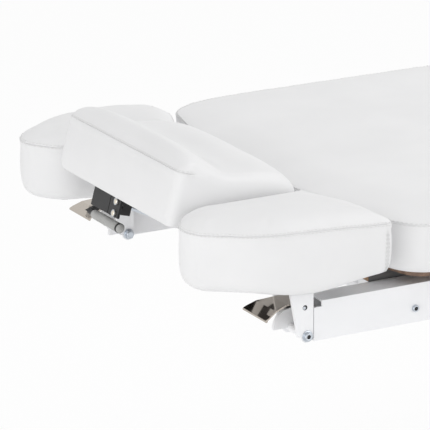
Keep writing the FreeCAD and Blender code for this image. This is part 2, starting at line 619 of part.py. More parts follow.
def build_actuator():
    nodes = {}
    a, b = Vector(ACT_FIXED_X, 0, ACT_FIXED_Z), lug_point()
    along = (b - a).normalize()
    length = (b - a).Length
    tail = block_along(-10.0, 24.0, 15.0, 10.0, a, along)
    gear = block_along(22.0, 78.0, 26.0, 26.0, a, along)
    tube = rod_between(ACT_TUBE_R, a + along * 70.0, a + along * (length - 50.0))
    motor = Part.makeCylinder(22.0, 88.0, a + along * 50.0, Vector(0, 1, 0))
    body = fuse([tail, gear, tube, motor])
    body = body.cut(rod_y(ACT_PIN_R + PIN_CLEARANCE, -15.0, 15.0, a))
    bore = rod_between(ACT_ROD_R + FIT_GAP, a + along * 90.0, a + along * length)
    nodes["actuator_housing"] = body.cut(bore)
    rod = rod_between(ACT_ROD_R, a + along * 96.0, b - along * 8.0)
    eye = block_along(-14.0, 10.0, 14.0, 11.5, b, along)
    nodes["actuator_rod"] = fuse([rod, eye, rod_y(ACT_PIN_R, -24.0, 24.0, b)])
    return nodes


# Head section, modelled flat and turned to its angle at rest

def head_rise(s):
    """Height of the head cushion's top above its seam, at a share of its length from the head end."""
    if s < HUMP_AT:
        return HUMP_HEIGHT * math.sin(math.pi / 2 * s / HUMP_AT)
    if s < VALLEY_AT:
        t = (1 - math.cos(math.pi * (s - HUMP_AT) / (VALLEY_AT - HUMP_AT))) / 2
        return HUMP_HEIGHT + (VALLEY_HEIGHT - HUMP_HEIGHT) * t
    if s < NECK_AT:
        t = (1 - math.cos(math.pi * (s - VALLEY_AT) / (NECK_AT - VALLEY_AT))) / 2
        return VALLEY_HEIGHT + (NECK_HEIGHT - VALLEY_HEIGHT) * t
    return NECK_HEIGHT * math.sqrt(1 - ((s - NECK_AT) / (1 - NECK_AT)) ** 2)


def build_head():
    nodes = {}
    points, radii = head_outline()
    x0, x1 = points[0][0], points[1][0]
    walls = [(8.0, -HEAD_DEPTH), (2.0, -HEAD_DEPTH + 9.0), (0.0, -HEAD_DEPTH * 0.5), (SEAM_INSET, 0.0)]
    base = skin([rounded_outline(points, radii, inset, SEAM_Z + rise) for inset, rise in walls])
    sections = []
    half = HEAD_HALF_WIDTH - SEAM_INSET - 5.0
    full = half - HEAD_SHOULDER
    for y, share in ((-half, 0.2), (-full, 0.85), (0.0, 1.0), (full, 0.85), (half, 0.2)):
        ring = [Vector(x1 - 6.0, y, SEAM_Z - 2.0), Vector(x0 + 6.0, y, SEAM_Z - 2.0)]
        for k in range(CONTOUR_STEPS + 1):
            s = k / CONTOUR_STEPS
            ring.append(Vector(x0 + 6.0 + (HEAD_LENGTH - 12.0) * s, y, SEAM_Z + head_rise(s) * share))
        sections.append(ring)
    top = skin(sections)
    nodes["head_cushion"] = fuse([base, top])
    low = SEAM_Z - HEAD_DEPTH
    board_low = low - HEAD_BOARD
    board = polygon_face(rounded_outline(points, radii, HEAD_BOARD_INSET, board_low))
    nodes["head_board"] = board.extrude(Vector(0, 0, HEAD_BOARD))
    ear_y0, ear_y1 = 132.0, 139.5
    arm = box(HEAD_HINGE.x - 150.0, HEAD_HINGE.x + 9.0, ear_y0, ear_y1, HEAD_HINGE.z - 9.0, board_low)
    nodes["head_hinge_arms"] = both_sides(arm.cut(rod_y(5.0 + PIN_CLEARANCE, ear_y0, ear_y1, HEAD_HINGE)))

    front = HEAD_HINGE.x - BLOCK_FRONT
    block_low = board_low - BLOCK_DROP
    y0, y1 = HOUSING_Y
    housing = box(front, front + 40.0, y0, y1, block_low, board_low)
    housing = housing.cut(box(front + 4.0, front + 40.0, y0 + 4.0, y1 - 4.0, block_low, board_low - 3.0))
    pin_at = Vector(HEAD_HINGE.x - GAS_HEAD_X, 0, SEAM_Z - GAS_HEAD_DROP)
    inward = (gas_fixed_point() - head_point(pin_at.x, pin_at.z)).normalize()
    inward = rotated(inward, HEAD_TRAVEL / 4 - HEAD_REST_TILT)
    slot_end = pin_at + inward * GAS_SLOT
    for wall in ((y0, y0 + 4.0), (y1 - 4.0, y1)):
        housing = housing.cut(slot_cut(GAS_PIN_R + FIT_GAP, pin_at, slot_end, *wall))
    lever_at = Vector(HEAD_HINGE.x - LEVER_AHEAD, 0, SEAM_Z - LEVER_DROP)
    lever_y0, lever_y1 = y1 + 1.0, y1 + 7.0
    nodes["head_release_housing"] = housing.cut(rod_y(3.0, y1 - 4.0, y1, lever_at))
    lever_pin = fuse([rod_y(3.0, y1 - 4.0, lever_y1 + 1.0, lever_at),
                      rod_y(5.0, lever_y1 + 1.0, lever_y1 + 3.0, lever_at)])
    p0, p1 = RELEASE_PLATE_Y
    nodes["head_release_plate"] = fuse([box(front, front + 4.0, p0, p1, block_low, board_low),
                                        box(front, front + 40.0, p0, p1, board_low - 3.0, board_low)])
    screws = [lever_pin]
    for z in (board_low - 10.0, board_low - 28.5):
        at = Vector(front, p0 + 12.0, z)
        screws.append(stub(5.6, at, Vector(-2.4, 0, 0)))
    nodes["head_release_fasteners"] = Part.makeCompound(screws)
    grip_at = Vector(HEAD_HINGE.x - GRIP_AHEAD, 0, SEAM_Z - GRIP_DROP)
    link = plate_xz([(lever_at.x + 5.0, lever_at.z + 3.0), (lever_at.x - 5.0, lever_at.z + 5.0),
                     (grip_at.x - 5.0, grip_at.z), (grip_at.x + 4.0, grip_at.z - 4.0)], lever_y0, lever_y1)
    lever = fuse([rod_y(6.0, lever_y0, lever_y1, lever_at), link,
                  rod_y(4.0, GRIP_Y[0] + 6.0, lever_y0, grip_at)])
    nodes["head_lever"] = lever.cut(rod_y(3.0 + PIN_CLEARANCE, lever_y0, lever_y1, lever_at))
    grip = rod_y(GRIP_R, GRIP_Y[0], GRIP_Y[1], grip_at)
    nodes["head_lever_grip"] = grip.cut(rod_y(4.0, GRIP_Y[0] + 6.0, GRIP_Y[1], grip_at))
    for name in nodes:
        nodes[name] = tilted_head(nodes[name])
    return nodes


# Gas spring under the head section: its two pins stand at the same distance from the head hinge

def gas_fixed_point():
    reach = math.hypot(GAS_HEAD_X, GAS_HEAD_DROP - HEAD_HINGE_DROP)
    drop = GAS_FIXED_DROP - HEAD_HINGE_DROP
    return Vector(HEAD_HINGE.x + math.sqrt(reach ** 2 - drop ** 2), 0, SEAM_Z - GAS_FIXED_DROP)


def build_gas_spring():
    nodes = {}
    shift = Vector(0, GAS_Y, 0)
    a = gas_fixed_point() + shift
    b = head_point(HEAD_HINGE.x - GAS_HEAD_X, SEAM_Z - GAS_HEAD_DROP) + shift
    along = (b - a).normalize()
    end = 205.0
    eye_y0, eye_y1 = GAS_Y - GAS_CYL_R, GAS_Y + GAS_CYL_R
    eye = block_along(-8.0, 12.0, GAS_CYL_R, 8.0, a, along)
    body = fuse([eye, rod_between(GAS_CYL_R, a + along * 10.0, a + along * end)])
    body = body.cut(rod_y(GAS_PIN_R + PIN_CLEARANCE, eye_y0, eye_y1, a))
    bore = rod_between(GAS_ROD_R + FIT_GAP, a + along * 50.0, a + along * end)
    nodes["gas_spring_cylinder"] = body.cut(bore)
    rod = rod_between(GAS_ROD_R, a + along * (end - 95.0), b - along * 6.0)
    eye = block_along(-8.0, 7.0, 15.0, 7.0, b, along)
    nodes["gas_spring_rod"] = fuse([rod, eye, rod_y(GAS_PIN_R, HOUSING_Y[0], HOUSING_Y[1], b)])
    return nodes


# Arm pads, built on the left and mirrored to the right

def arm_rim_lift(x):
    """How far the rim of an arm pad's underside is drawn up at x: not at all over its head third."""
    start = HEAD_TIP_X + (ARM_FOOT_X - HEAD_TIP_X) * 0.3
    t = min(1.0, max(0.0, (x - start) / (ARM_FOOT_X + ARM_FOOT_SKEW / 2 - start)))
    return ARM_END_LIFT * t * t * (3 - 2 * t)


def build_arms():
    nodes = {}
    points, radii = arm_outline()
    shoulder = (ARM_OUTER_Y - ARM_INNER_Y) * 0.2
    pad = cushion(points, radii, ARM_DEPTH, SEAM_Z, ARM_CROWN, shoulder, arm_rim_lift,
                  corners=(points[2],), sink=ARM_SINK)
    low = SEAM_Z - ARM_DEPTH
    board_low = low - ARM_BOARD
    board = polygon_face(rounded_outline(points, radii, shoulder, board_low)).extrude(Vector(0, 0, ARM_BOARD))
    bracket_low = board_low - BRACKET_THICK
    outer0, inner1 = RAIL_OUTER_Y - EAR_THICK, EAR_INNER_Y + EAR_THICK
    right = ARM_PIVOT.x + EAR_R
    outline = [(EAR_HEAD_X, board_low), (right, board_low), (right, ARM_PIVOT.z),
               (ARM_PIVOT.x, ARM_PIVOT.z - 2.0), (ARM_PIVOT.x - EAR_R - 5.0, ARM_PIVOT.z)]
    ears = []
    for y0, y1 in ((EAR_INNER_Y, inner1), (outer0, RAIL_OUTER_Y)):
        ears += [plate_xz(outline, y0, y1), rod_y(EAR_R, y0, y1, ARM_PIVOT)]
    plate = box(EAR_HEAD_X - 30.0, right + 30.0, EAR_INNER_Y, RAIL_OUTER_Y, bracket_low, board_low)
    bracket = fuse([plate] + ears)
    bracket = bracket.cut(rod_y(ARM_BOLT_R, EAR_INNER_Y, RAIL_OUTER_Y, ARM_PIVOT))
    bracket = bracket.cut(rod_y(PADDLE_PIN_R, EAR_INNER_Y, RAIL_OUTER_Y, PADDLE_PIN))
    bolt = fuse([rod_y(ARM_BOLT_R, EAR_INNER_Y - 8.0, RAIL_OUTER_Y + 1.0, ARM_PIVOT),
                 stub(7.0, ARM_PIVOT + Vector(0, RAIL_OUTER_Y, 0), Vector(0, 4.5, 0), 20),
                 stub(7.5, ARM_PIVOT + Vector(0, EAR_INNER_Y, 0), Vector(0, -6.5, 0), 6)])
    pin = rod_y(PADDLE_PIN_R, EAR_INNER_Y, RAIL_OUTER_Y - 1.0, PADDLE_PIN)

    # Paddle: a wide lip, a narrowing blade and a hub on the pin, with a brake lining facing the sector
    mid = (EAR_INNER_Y + RAIL_OUTER_Y) / 2
    tip = Vector(PADDLE_TIP_X, 0, SEAM_Z - PADDLE_TIP_DROP)
    root = Vector(EAR_HEAD_X + 2.0, 0, PADDLE_PIN.z + 4.0)
    bend = Vector((tip.x + root.x) / 2 - 2.0, 0, (tip.z + root.z) / 2 + 2.5)
    blade = [(tip.x, tip.z), (bend.x, bend.z), (root.x, root.z),
             (PADDLE_PIN.x, PADDLE_PIN.z + PADDLE_HUB_R - PADDLE_THICK)]
    over = [(x - 0.6, z + PADDLE_THICK) for x, z in reversed(blade)]
    sheet = plate_xz(blade + over, mid - PADDLE_WIDTH / 2, mid + PADDLE_WIDTH / 2)
    wide, narrow = PADDLE_WIDTH / 2, PADDLE_ROOT_WIDTH / 2
    half_plan = [(tip.x - 10.0, wide), (tip.x + 4.0, wide), (root.x, narrow), (PADDLE_PIN.x + 20.0, narrow)]
    plan = [Vector(x, mid - y, 0) for x, y in half_plan]
    plan += [Vector(x, mid + y, 0) for x, y in reversed(half_plan)]
    plan = polygon_face(plan).extrude(Vector(0, 0, SEAM_Z))
    blade_solid = sheet.common(plan)
    lip = Part.makeCylinder(2.2, PADDLE_WIDTH, Vector(tip.x + 0.4, mid - wide, tip.z + 0.6), Vector(0, 1, 0))
    hub_y0, hub_y1 = inner1 + FIT_GAP, outer0 - FIT_GAP
    hub = rod_y(PADDLE_HUB_R, hub_y0, hub_y1, PADDLE_PIN)
    bore = rod_y(PADDLE_PIN_R + PIN_CLEARANCE, hub_y0, hub_y1, PADDLE_PIN)
    paddle = fuse([blade_solid, lip, hub]).cut(bore)
    reach = (PADDLE_PIN - ARM_PIVOT).Length - DRUM_R - BRAKE_GAP
    y0, y1 = hub_y0 + 1.5, hub_y0 + 7.5
    lining = rod_y(reach, y0, y1, PADDLE_PIN).cut(rod_y(PADDLE_HUB_R, y0, y1, PADDLE_PIN))
    lining = lining.common(box(PADDLE_PIN.x - 7.0, PADDLE_PIN.x + 7.0, y0, y1, 0, PADDLE_PIN.z))
    pieces = {"arm_cushion": pad, "arm_board": board, "arm_bracket": bracket, "release_paddle": paddle,
              "brake_lining": lining}
    for name, shape in pieces.items():
        nodes[name + "_left"] = shape
        nodes[name + "_right"] = mirrored(shape)
    for side, turn in (("left", lambda s: s), ("right", mirrored)):
        nodes["arm_fasteners_" + side] = turn(Part.makeCompound([bolt, pin]))
    return nodes


def export(nodes):
    os.makedirs("parts", exist_ok=True)
    for name, shape in nodes.items():
        solids = shape.Solids
        assert solids and all(s.isValid() and s.Volume > 0 for s in solids), name
        shape.exportStep("parts/%s.step" % name)


def main():
    nodes = {}
    for build in (build_base, build_carriage, build_backrest, build_actuator, build_head, build_gas_spring,
                  build_arms):
        nodes.update(build())
    export(nodes)


main()
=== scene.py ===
"""Blender scene of the electric spa table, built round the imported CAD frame.

Upholstery is built ring by ring, swollen by a cloth simulation and then sewn. Sizes are in millimetres,
as in the CAD source, and go to metres when a mesh is made. Light, floor and camera are in metres.
"""

import json
import math

import bpy
import numpy as np
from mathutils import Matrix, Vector
from mathutils.kdtree import KDTree


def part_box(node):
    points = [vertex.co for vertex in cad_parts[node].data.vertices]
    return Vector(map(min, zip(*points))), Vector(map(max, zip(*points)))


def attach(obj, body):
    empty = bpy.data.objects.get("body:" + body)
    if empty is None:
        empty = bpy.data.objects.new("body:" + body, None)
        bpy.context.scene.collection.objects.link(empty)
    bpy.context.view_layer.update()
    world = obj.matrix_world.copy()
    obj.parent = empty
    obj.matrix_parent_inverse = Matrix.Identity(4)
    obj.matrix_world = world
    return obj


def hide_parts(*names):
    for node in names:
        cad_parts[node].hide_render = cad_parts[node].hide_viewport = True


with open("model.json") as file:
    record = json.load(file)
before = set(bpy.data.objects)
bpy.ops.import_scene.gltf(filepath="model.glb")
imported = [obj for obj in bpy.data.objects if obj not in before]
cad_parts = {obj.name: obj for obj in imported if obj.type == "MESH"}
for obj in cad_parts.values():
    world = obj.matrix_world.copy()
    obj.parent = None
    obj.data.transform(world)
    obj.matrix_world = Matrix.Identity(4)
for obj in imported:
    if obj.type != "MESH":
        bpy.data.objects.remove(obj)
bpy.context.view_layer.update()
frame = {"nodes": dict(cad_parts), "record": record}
MM = 0.001

# Table sizes, the same as the CAD source's
TABLE_LENGTH = 1960.0
HALF_WIDTH = 375.0
HEAD_TIP_X = -TABLE_LENGTH / 2
FOOT_END_X = TABLE_LENGTH / 2
SEAM_Z = 720.0
SEAM_INSET = 3.0          # a seam lies this far in from its cushion's widest line

# Backrest and seat cushions
BACK_SEAM_Z = SEAM_Z - 11.0
BACK_HEAD_X = HEAD_TIP_X + 259.0
BACK_HINGE_X = HEAD_TIP_X + 865.0
BACK_END_BOW = 60.0
BACK_END_RADIUS = 500.0
BACK_FLAT_INSET = 16.0               # its head end is straight to this far inside the head cushion's sides
BACK_CORNER = 80.0
BACK_SINK = 5.0
FOOT_CORNER = 90.0
GAP_CORNER = 30.0
CUSHION_GAP = 22.0
CUSHION_DEPTH = 81.0
CROWN = 7.5
SHOULDER = 70.0

# Head cushion
HEAD_HALF_WIDTH = 183.0
HEAD_LENGTH = 215.0
HEAD_DEPTH = 83.0
HEAD_SHOULDER = 14.0
HEAD_FOOT_INSET = 8.0
HEAD_BOARD = 6.0
HEAD_HINGE = (HEAD_TIP_X + 240.0, SEAM_Z - 98.0)
HEAD_FOOT_X = HEAD_HINGE[0] - 21.0
HEAD_START_X = HEAD_FOOT_X - HEAD_LENGTH
HEAD_REST_TILT = math.radians(15.7)
HEAD_CORNERS = (20.0, 16.0)          # at its head end and at its foot end
HEAD_HUMP = (0.11, 27.0)             # places by share of its length, and heights above the seam
HEAD_VALLEY = (0.40, 9.0)
HEAD_NECK = (0.80, 22.0)
HEAD_SIDES = (4, 0.4)                # powers that shape how its top falls away at both sides
HEAD_EDGE = 6.0                      # its top takes up its contour over this much from the seam
HEAD_SEWN_X = HEAD_START_X + 25.0    # its seam runs along its sides to here
SEAM_FADE = 60.0                     # and dies away over this length
HEAD_EASED = (9, 60)                 # rings beside the unsewn edge that are eased, and passes
CREASES = ((149.0, 26.0, 30.0, 4.6, 2.2),      # X ahead of the hinge, Y, half length, depth, width
           (55.0, -33.0, 31.0, 2.6, 2.0))
CREASE_DIP = (0.25, 3.5)             # depth and width of the dip round a crease, by the crease's own

# Arm pads
ARM_INNER_Y = HEAD_HALF_WIDTH + 4.0
ARM_OUTER_Y = HALF_WIDTH - 1.0
ARM_FOOT_X = HEAD_TIP_X + 242.0
ARM_FOOT_SKEW = 50.0
ARM_FOOT_BOW = (0.17, 0.551)         # share of the skew ahead of its outer end, share of the width across
ARM_FOOT_CORNERS = (14.0, 12.0)      # at its inner and at its outer end
ARM_END = ((0.449, 0.845), (0.059, 0.561), (-0.029, 0.353), (0.198, 0.0))   # by shares of the width
ARM_END_RADII = (0.8, 0.18, 0.267, 0.374)
ARM_DEPTH = 88.0
ARM_CROWN = 17.0
ARM_SHOULDER = 37.0
ARM_SINK = 9.0            # the seam dips by this much at the outer foot corner
NEAR_ARM_SINK = 2.0       # and less on the right, which the photo shows near the camera
RIM_HANG = 10.0           # the rim of the underside hangs this far over the edge of the board
RIM_HANG_X = (HEAD_TIP_X + 65.0, HEAD_TIP_X + 160.0)
RIM_RISE = 18.0           # and rises by this much from there to the foot end
RIM_RISE_X = (HEAD_TIP_X + 165.0, HEAD_TIP_X + 290.0)
WALL_SEAM_X = ARM_FOOT_X + ARM_FOOT_SKEW - 14.0
OUTER_WALL = 12.0         # what is this near the widest line belongs to the outer wall
WALL_SEAM_DENTS = ((-1, 0.3), (0, -1.6), (1, 0.3))      # points beside it, and how far they stand out
WALL_SEAM_ENDS = (3, 5)   # rings of the wall that it leaves out at the foot and below the seam

# What all cushions share
SOFT_REACH = 75.0         # how far the dip at a cushion's soft corner spreads
SOFT_CROWN = 18.0         # where the crown is this high, a soft corner dips twice as much as at the seam
CENTRE_RISE = 1.5         # a plain top's extra height in the middle
BOARD_SHARE = 0.78        # the board takes up this share of an underside
STITCH_OFFSET = 3.5       # each row of stitches from the seam
SEAM_STEPS = (0.9, 2.0, STITCH_OFFSET, 6.0, 9.5, 14.0, 20.0, 27.0)   # rings beside the seam
TOP_STEPS = SEAM_STEPS + (35.0,)
TOP_MARGIN = 4.0          # the last of those keeps this far from the shoulder
UNDER_SHARES = (0.25, 0.6, BOARD_SHARE, 0.9)      # rings of the underside, by their share of its size
WALL_SHARES = (1.0, 0.985, 0.96, 0.92, 0.86, 0.78, 0.68, 0.57, 0.45)   # rings of the wall, by depth
WALL_PROFILE = np.array([(0.0, 3.0), (0.1, 1.7), (0.2, 0.8), (0.38, 0.0), (0.5, 0.15), (0.62, 0.5),
                         (0.75, 1.6), (0.85, 4.0), (0.92, 7.5), (0.97, 12.0), (1.0, 16.0)])
FOOT_INSET = WALL_PROFILE[-1, 1]
LEAST_RADIUS = 2.0        # of a corner, however far it is moved in
ARC_POINTS = 5            # at least, on a corner of an outline
EDGE_STEPS = 2            # at least, on an edge

# Cloth simulation
SWELL = 2.5               # a cushion starts this much smaller, and the simulation swells it
SWELL_DROP = 14.0         # from this far below the seam
CLOTH_FRAMES = 20
HELD_ABOVE = 3.0          # the cloth is held up to this far above the underside
HELD_VOXELS = 1.2         # and within this many voxels of the seam
NEAR_POINTS = 6           # a ring's point follows this many points of the cloth
NEAR_SOFTNESS = 4.0       # the more, the more evenly these count

# Sewing
SEAM_DENTS = np.array([(0.0, -2.4), (0.9, -0.9), (2.0, 0.25), (STITCH_OFFSET, -0.35),
                       (6.0, 0.25), (9.5, 0.0)])     # distance from the seam, how far the cover stands out
PUCKER = 0.45                        # height of the puckers beside the seam
PUCKER_PERIODS = (24.0, 33.0, 47.0, 90.0)
PUCKER_SCALE = 2.2                   # the sum of their waves is divided by this
PUCKER_FADE = (9.0, 16.0)            # they die away over the top and down the wall
PUCKER_START = 3.0                   # and grow from nothing on the seam over this length
PHASES = 6.28                        # each wave starts at a random angle up to this
STITCH_LENGTH = 4.0
STITCH_RADIUS = 0.42
STITCH_SHAPE = ((0.0, 0.35), (0.2, 1.0), (0.5, 1.0), (0.8, 1.0), (1.0, 0.35))   # place and thickness
STITCH_STAND = 0.75                  # a stitch stands out by this share of its radius
STITCH_SINK = 0.1                    # and its ends lie in by this share
STITCH_SIDES = 5
LOOK_AHEAD = 0.5                     # a stitch's direction is taken over this length


def link(mesh, name):
    """A new object for a mesh, smooth shaded, in the scene."""
    obj = bpy.data.objects.new(name, mesh)
    bpy.context.scene.collection.objects.link(obj)
    mesh.shade_smooth()
    return obj


def mesh_from(name, verts, faces):
    """A mesh from points in millimetres."""
    mesh = bpy.data.meshes.new(name)
    mesh.from_pydata([tuple(v) for v in np.asarray(verts) * MM], [], faces)
    mesh.update()
    return mesh


def strips(count, size, base=0):
    """Faces between closed rings of points that follow one another, from the point base on."""
    faces = []
    for a in range(base, base + (count - 1) * size, size):
        faces += [(a + i, a + (i + 1) % size, a + size + (i + 1) % size, a + size + i) for i in range(size)]
    return faces


def closed_tube(count, size, base=0):
    """The faces of strips, and one at each end."""
    last = base + (count - 1) * size
    ends = [tuple(reversed(range(base, base + size))), tuple(range(last, last + size))]
    return strips(count, size, base) + ends


def set_piece(piece, body, material):
    """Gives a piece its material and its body."""
    piece.data.materials.append(material)
    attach(piece, body)


# Outlines

def rounded_ring(points, radii, inset, spacing):
    """Points round a convex outline moved in by inset, with round corners, as many for every inset."""
    pts = np.array(points, float)
    count = len(pts)
    along = np.roll(pts, -1, 0) - pts
    lengths = np.linalg.norm(along, axis=1)
    along /= lengths[:, None]
    moved = pts + np.stack([-along[:, 1], along[:, 0]], 1) * inset
    arcs, reaches = [], []
    for i in range(count):
        d, e = along[i - 1], along[i]
        p, q = moved[i - 1], moved[i]
        cross = d[0] * e[1] - d[1] * e[0]
        corner = p + d * (((q[0] - p[0]) * e[1] - (q[1] - p[1]) * e[0]) / cross)
        turn = math.acos(np.clip(d @ e, -1.0, 1.0))
        r = max(radii[i] - inset, LEAST_RADIUS)
        centre = corner + (e - d) / np.linalg.norm(e - d) * (r / math.cos(turn / 2))
        first = corner - d * (r * math.tan(turn / 2)) - centre
        a = np.linspace(0.0, turn, max(ARC_POINTS, int(radii[i] * turn / spacing)))
        arcs.append(centre + np.stack([first[0] * np.cos(a) - first[1] * np.sin(a),
                                       first[0] * np.sin(a) + first[1] * np.cos(a)], 1))
        reaches.append(radii[i] * math.tan(turn / 2))
    ring = []
    for i in range(count):
        after = arcs[(i + 1) % count]
        ring.append(arcs[i])
        straight = lengths[i] - reaches[i] - reaches[(i + 1) % count]
        steps = max(EDGE_STEPS, int(straight / spacing))
        t = np.linspace(0.0, 1.0, steps + 1)[1:-1, None]
        ring.append(arcs[i][-1] * (1 - t) + after[0] * t)
    return np.concatenate(ring)


def arm_outline():
    """The left arm pad: a foot edge that bows and runs back, and a round head end."""
    span = ARM_OUTER_Y - ARM_INNER_Y
    foot_x = ARM_FOOT_X + ARM_FOOT_SKEW
    bowed = (foot_x - ARM_FOOT_SKEW * ARM_FOOT_BOW[0], ARM_INNER_Y + span * ARM_FOOT_BOW[1])
    foot = [(ARM_FOOT_X, ARM_INNER_Y), bowed, (foot_x, ARM_OUTER_Y)]
    head = [(HEAD_TIP_X + span * u, ARM_INNER_Y + span * v) for u, v in ARM_END]
    inner, outer = ARM_FOOT_CORNERS
    return foot + head, [inner, span, outer] + [span * share for share in ARM_END_RADII]


def back_outline():
    """The backrest: bowed at the head end, between the arm pads."""
    flat = HEAD_HALF_WIDTH - BACK_FLAT_INSET
    foot_x = BACK_HINGE_X - CUSHION_GAP / 2
    bow_x = BACK_HEAD_X + BACK_END_BOW
    return ([(BACK_HEAD_X, flat), (BACK_HEAD_X, -flat), (bow_x, -HALF_WIDTH), (foot_x, -HALF_WIDTH),
             (foot_x, HALF_WIDTH), (bow_x, HALF_WIDTH)],
            [BACK_END_RADIUS, BACK_END_RADIUS, BACK_CORNER, GAP_CORNER, GAP_CORNER, BACK_CORNER])


def seat_outline():
    """The seat and legs: wide round corners at the foot end."""
    head_x = BACK_HINGE_X + CUSHION_GAP / 2
    return ([(head_x, -HALF_WIDTH), (FOOT_END_X, -HALF_WIDTH),
             (FOOT_END_X, HALF_WIDTH), (head_x, HALF_WIDTH)],
            [GAP_CORNER, FOOT_CORNER, FOOT_CORNER, GAP_CORNER])


def head_outline():
    """The head cushion before its tilt: a plain rectangle."""
    head, foot = HEAD_CORNERS
    return ([(HEAD_START_X, -HEAD_HALF_WIDTH), (HEAD_FOOT_X, -HEAD_HALF_WIDTH),
             (HEAD_FOOT_X, HEAD_HALF_WIDTH), (HEAD_START_X, HEAD_HALF_WIDTH)],
            [head, foot, foot, head])


# Upholstery

def smooth(t):
    """An eased step from 0 to 1."""
    t = np.clip(t, 0.0, 1.0)
    return t * t * (3 - 2 * t)


def plain_crown(crown, shoulder, power):
    """Height of a plain cushion's top above its seam, by how far in from the widest line a point is."""
    def rise(ring, inset, centre_share):
        t = np.clip((inset - SEAM_INSET) / (shoulder - SEAM_INSET), 0.0, 1.0)
        return np.full(len(ring), crown * (1 - (1 - t) ** power)) + CENTRE_RISE * smooth(centre_share)
    return rise


def head_rise(s):
    """The head cushion's contour, by share of its length: a roll at the head end, a valley, the neck roll."""
    hump, valley, neck = HEAD_HUMP, HEAD_VALLEY, HEAD_NECK

    def between(start, end):
        t = (1 - np.cos(np.pi * (s - start[0]) / (end[0] - start[0]))) / 2
        return start[1] + (end[1] - start[1]) * t

    first = hump[1] * np.sin(np.pi / 2 * s / hump[0])
    last = neck[1] * np.sqrt(np.clip(1 - ((s - neck[0]) / (1 - neck[0])) ** 2, 0.0, 1.0))
    return np.select([s < hump[0], s < valley[0], s < neck[0]],
                     [first, between(hump, valley), between(valley, neck)], last)


def contoured_crown():
    """The head cushion's top, which follows its contour along X and falls away at both sides."""
    length = HEAD_LENGTH - 2 * SEAM_INSET
    half = HEAD_HALF_WIDTH - SEAM_INSET

    def rise(ring, inset, centre_share):
        s = np.clip((ring[:, 0] - HEAD_START_X - SEAM_INSET) / length, 0.0, 1.0)
        side = np.clip(1 - np.abs(ring[:, 1] / half) ** HEAD_SIDES[0], 0.0, 1.0) ** HEAD_SIDES[1]
        ramp = np.clip((inset - SEAM_INSET) / HEAD_EDGE, 0.0, 1.0)
        return head_rise(s) * side * ramp
    return rise


def arm_rim(x):
    """How far the rim of an arm pad's underside stands above the rest: it wraps its board, then rises."""
    def eased(span):
        return smooth((x - span[0]) / (span[1] - span[0]))
    return RIM_RISE * eased(RIM_RISE_X) - RIM_HANG * eased(RIM_HANG_X)


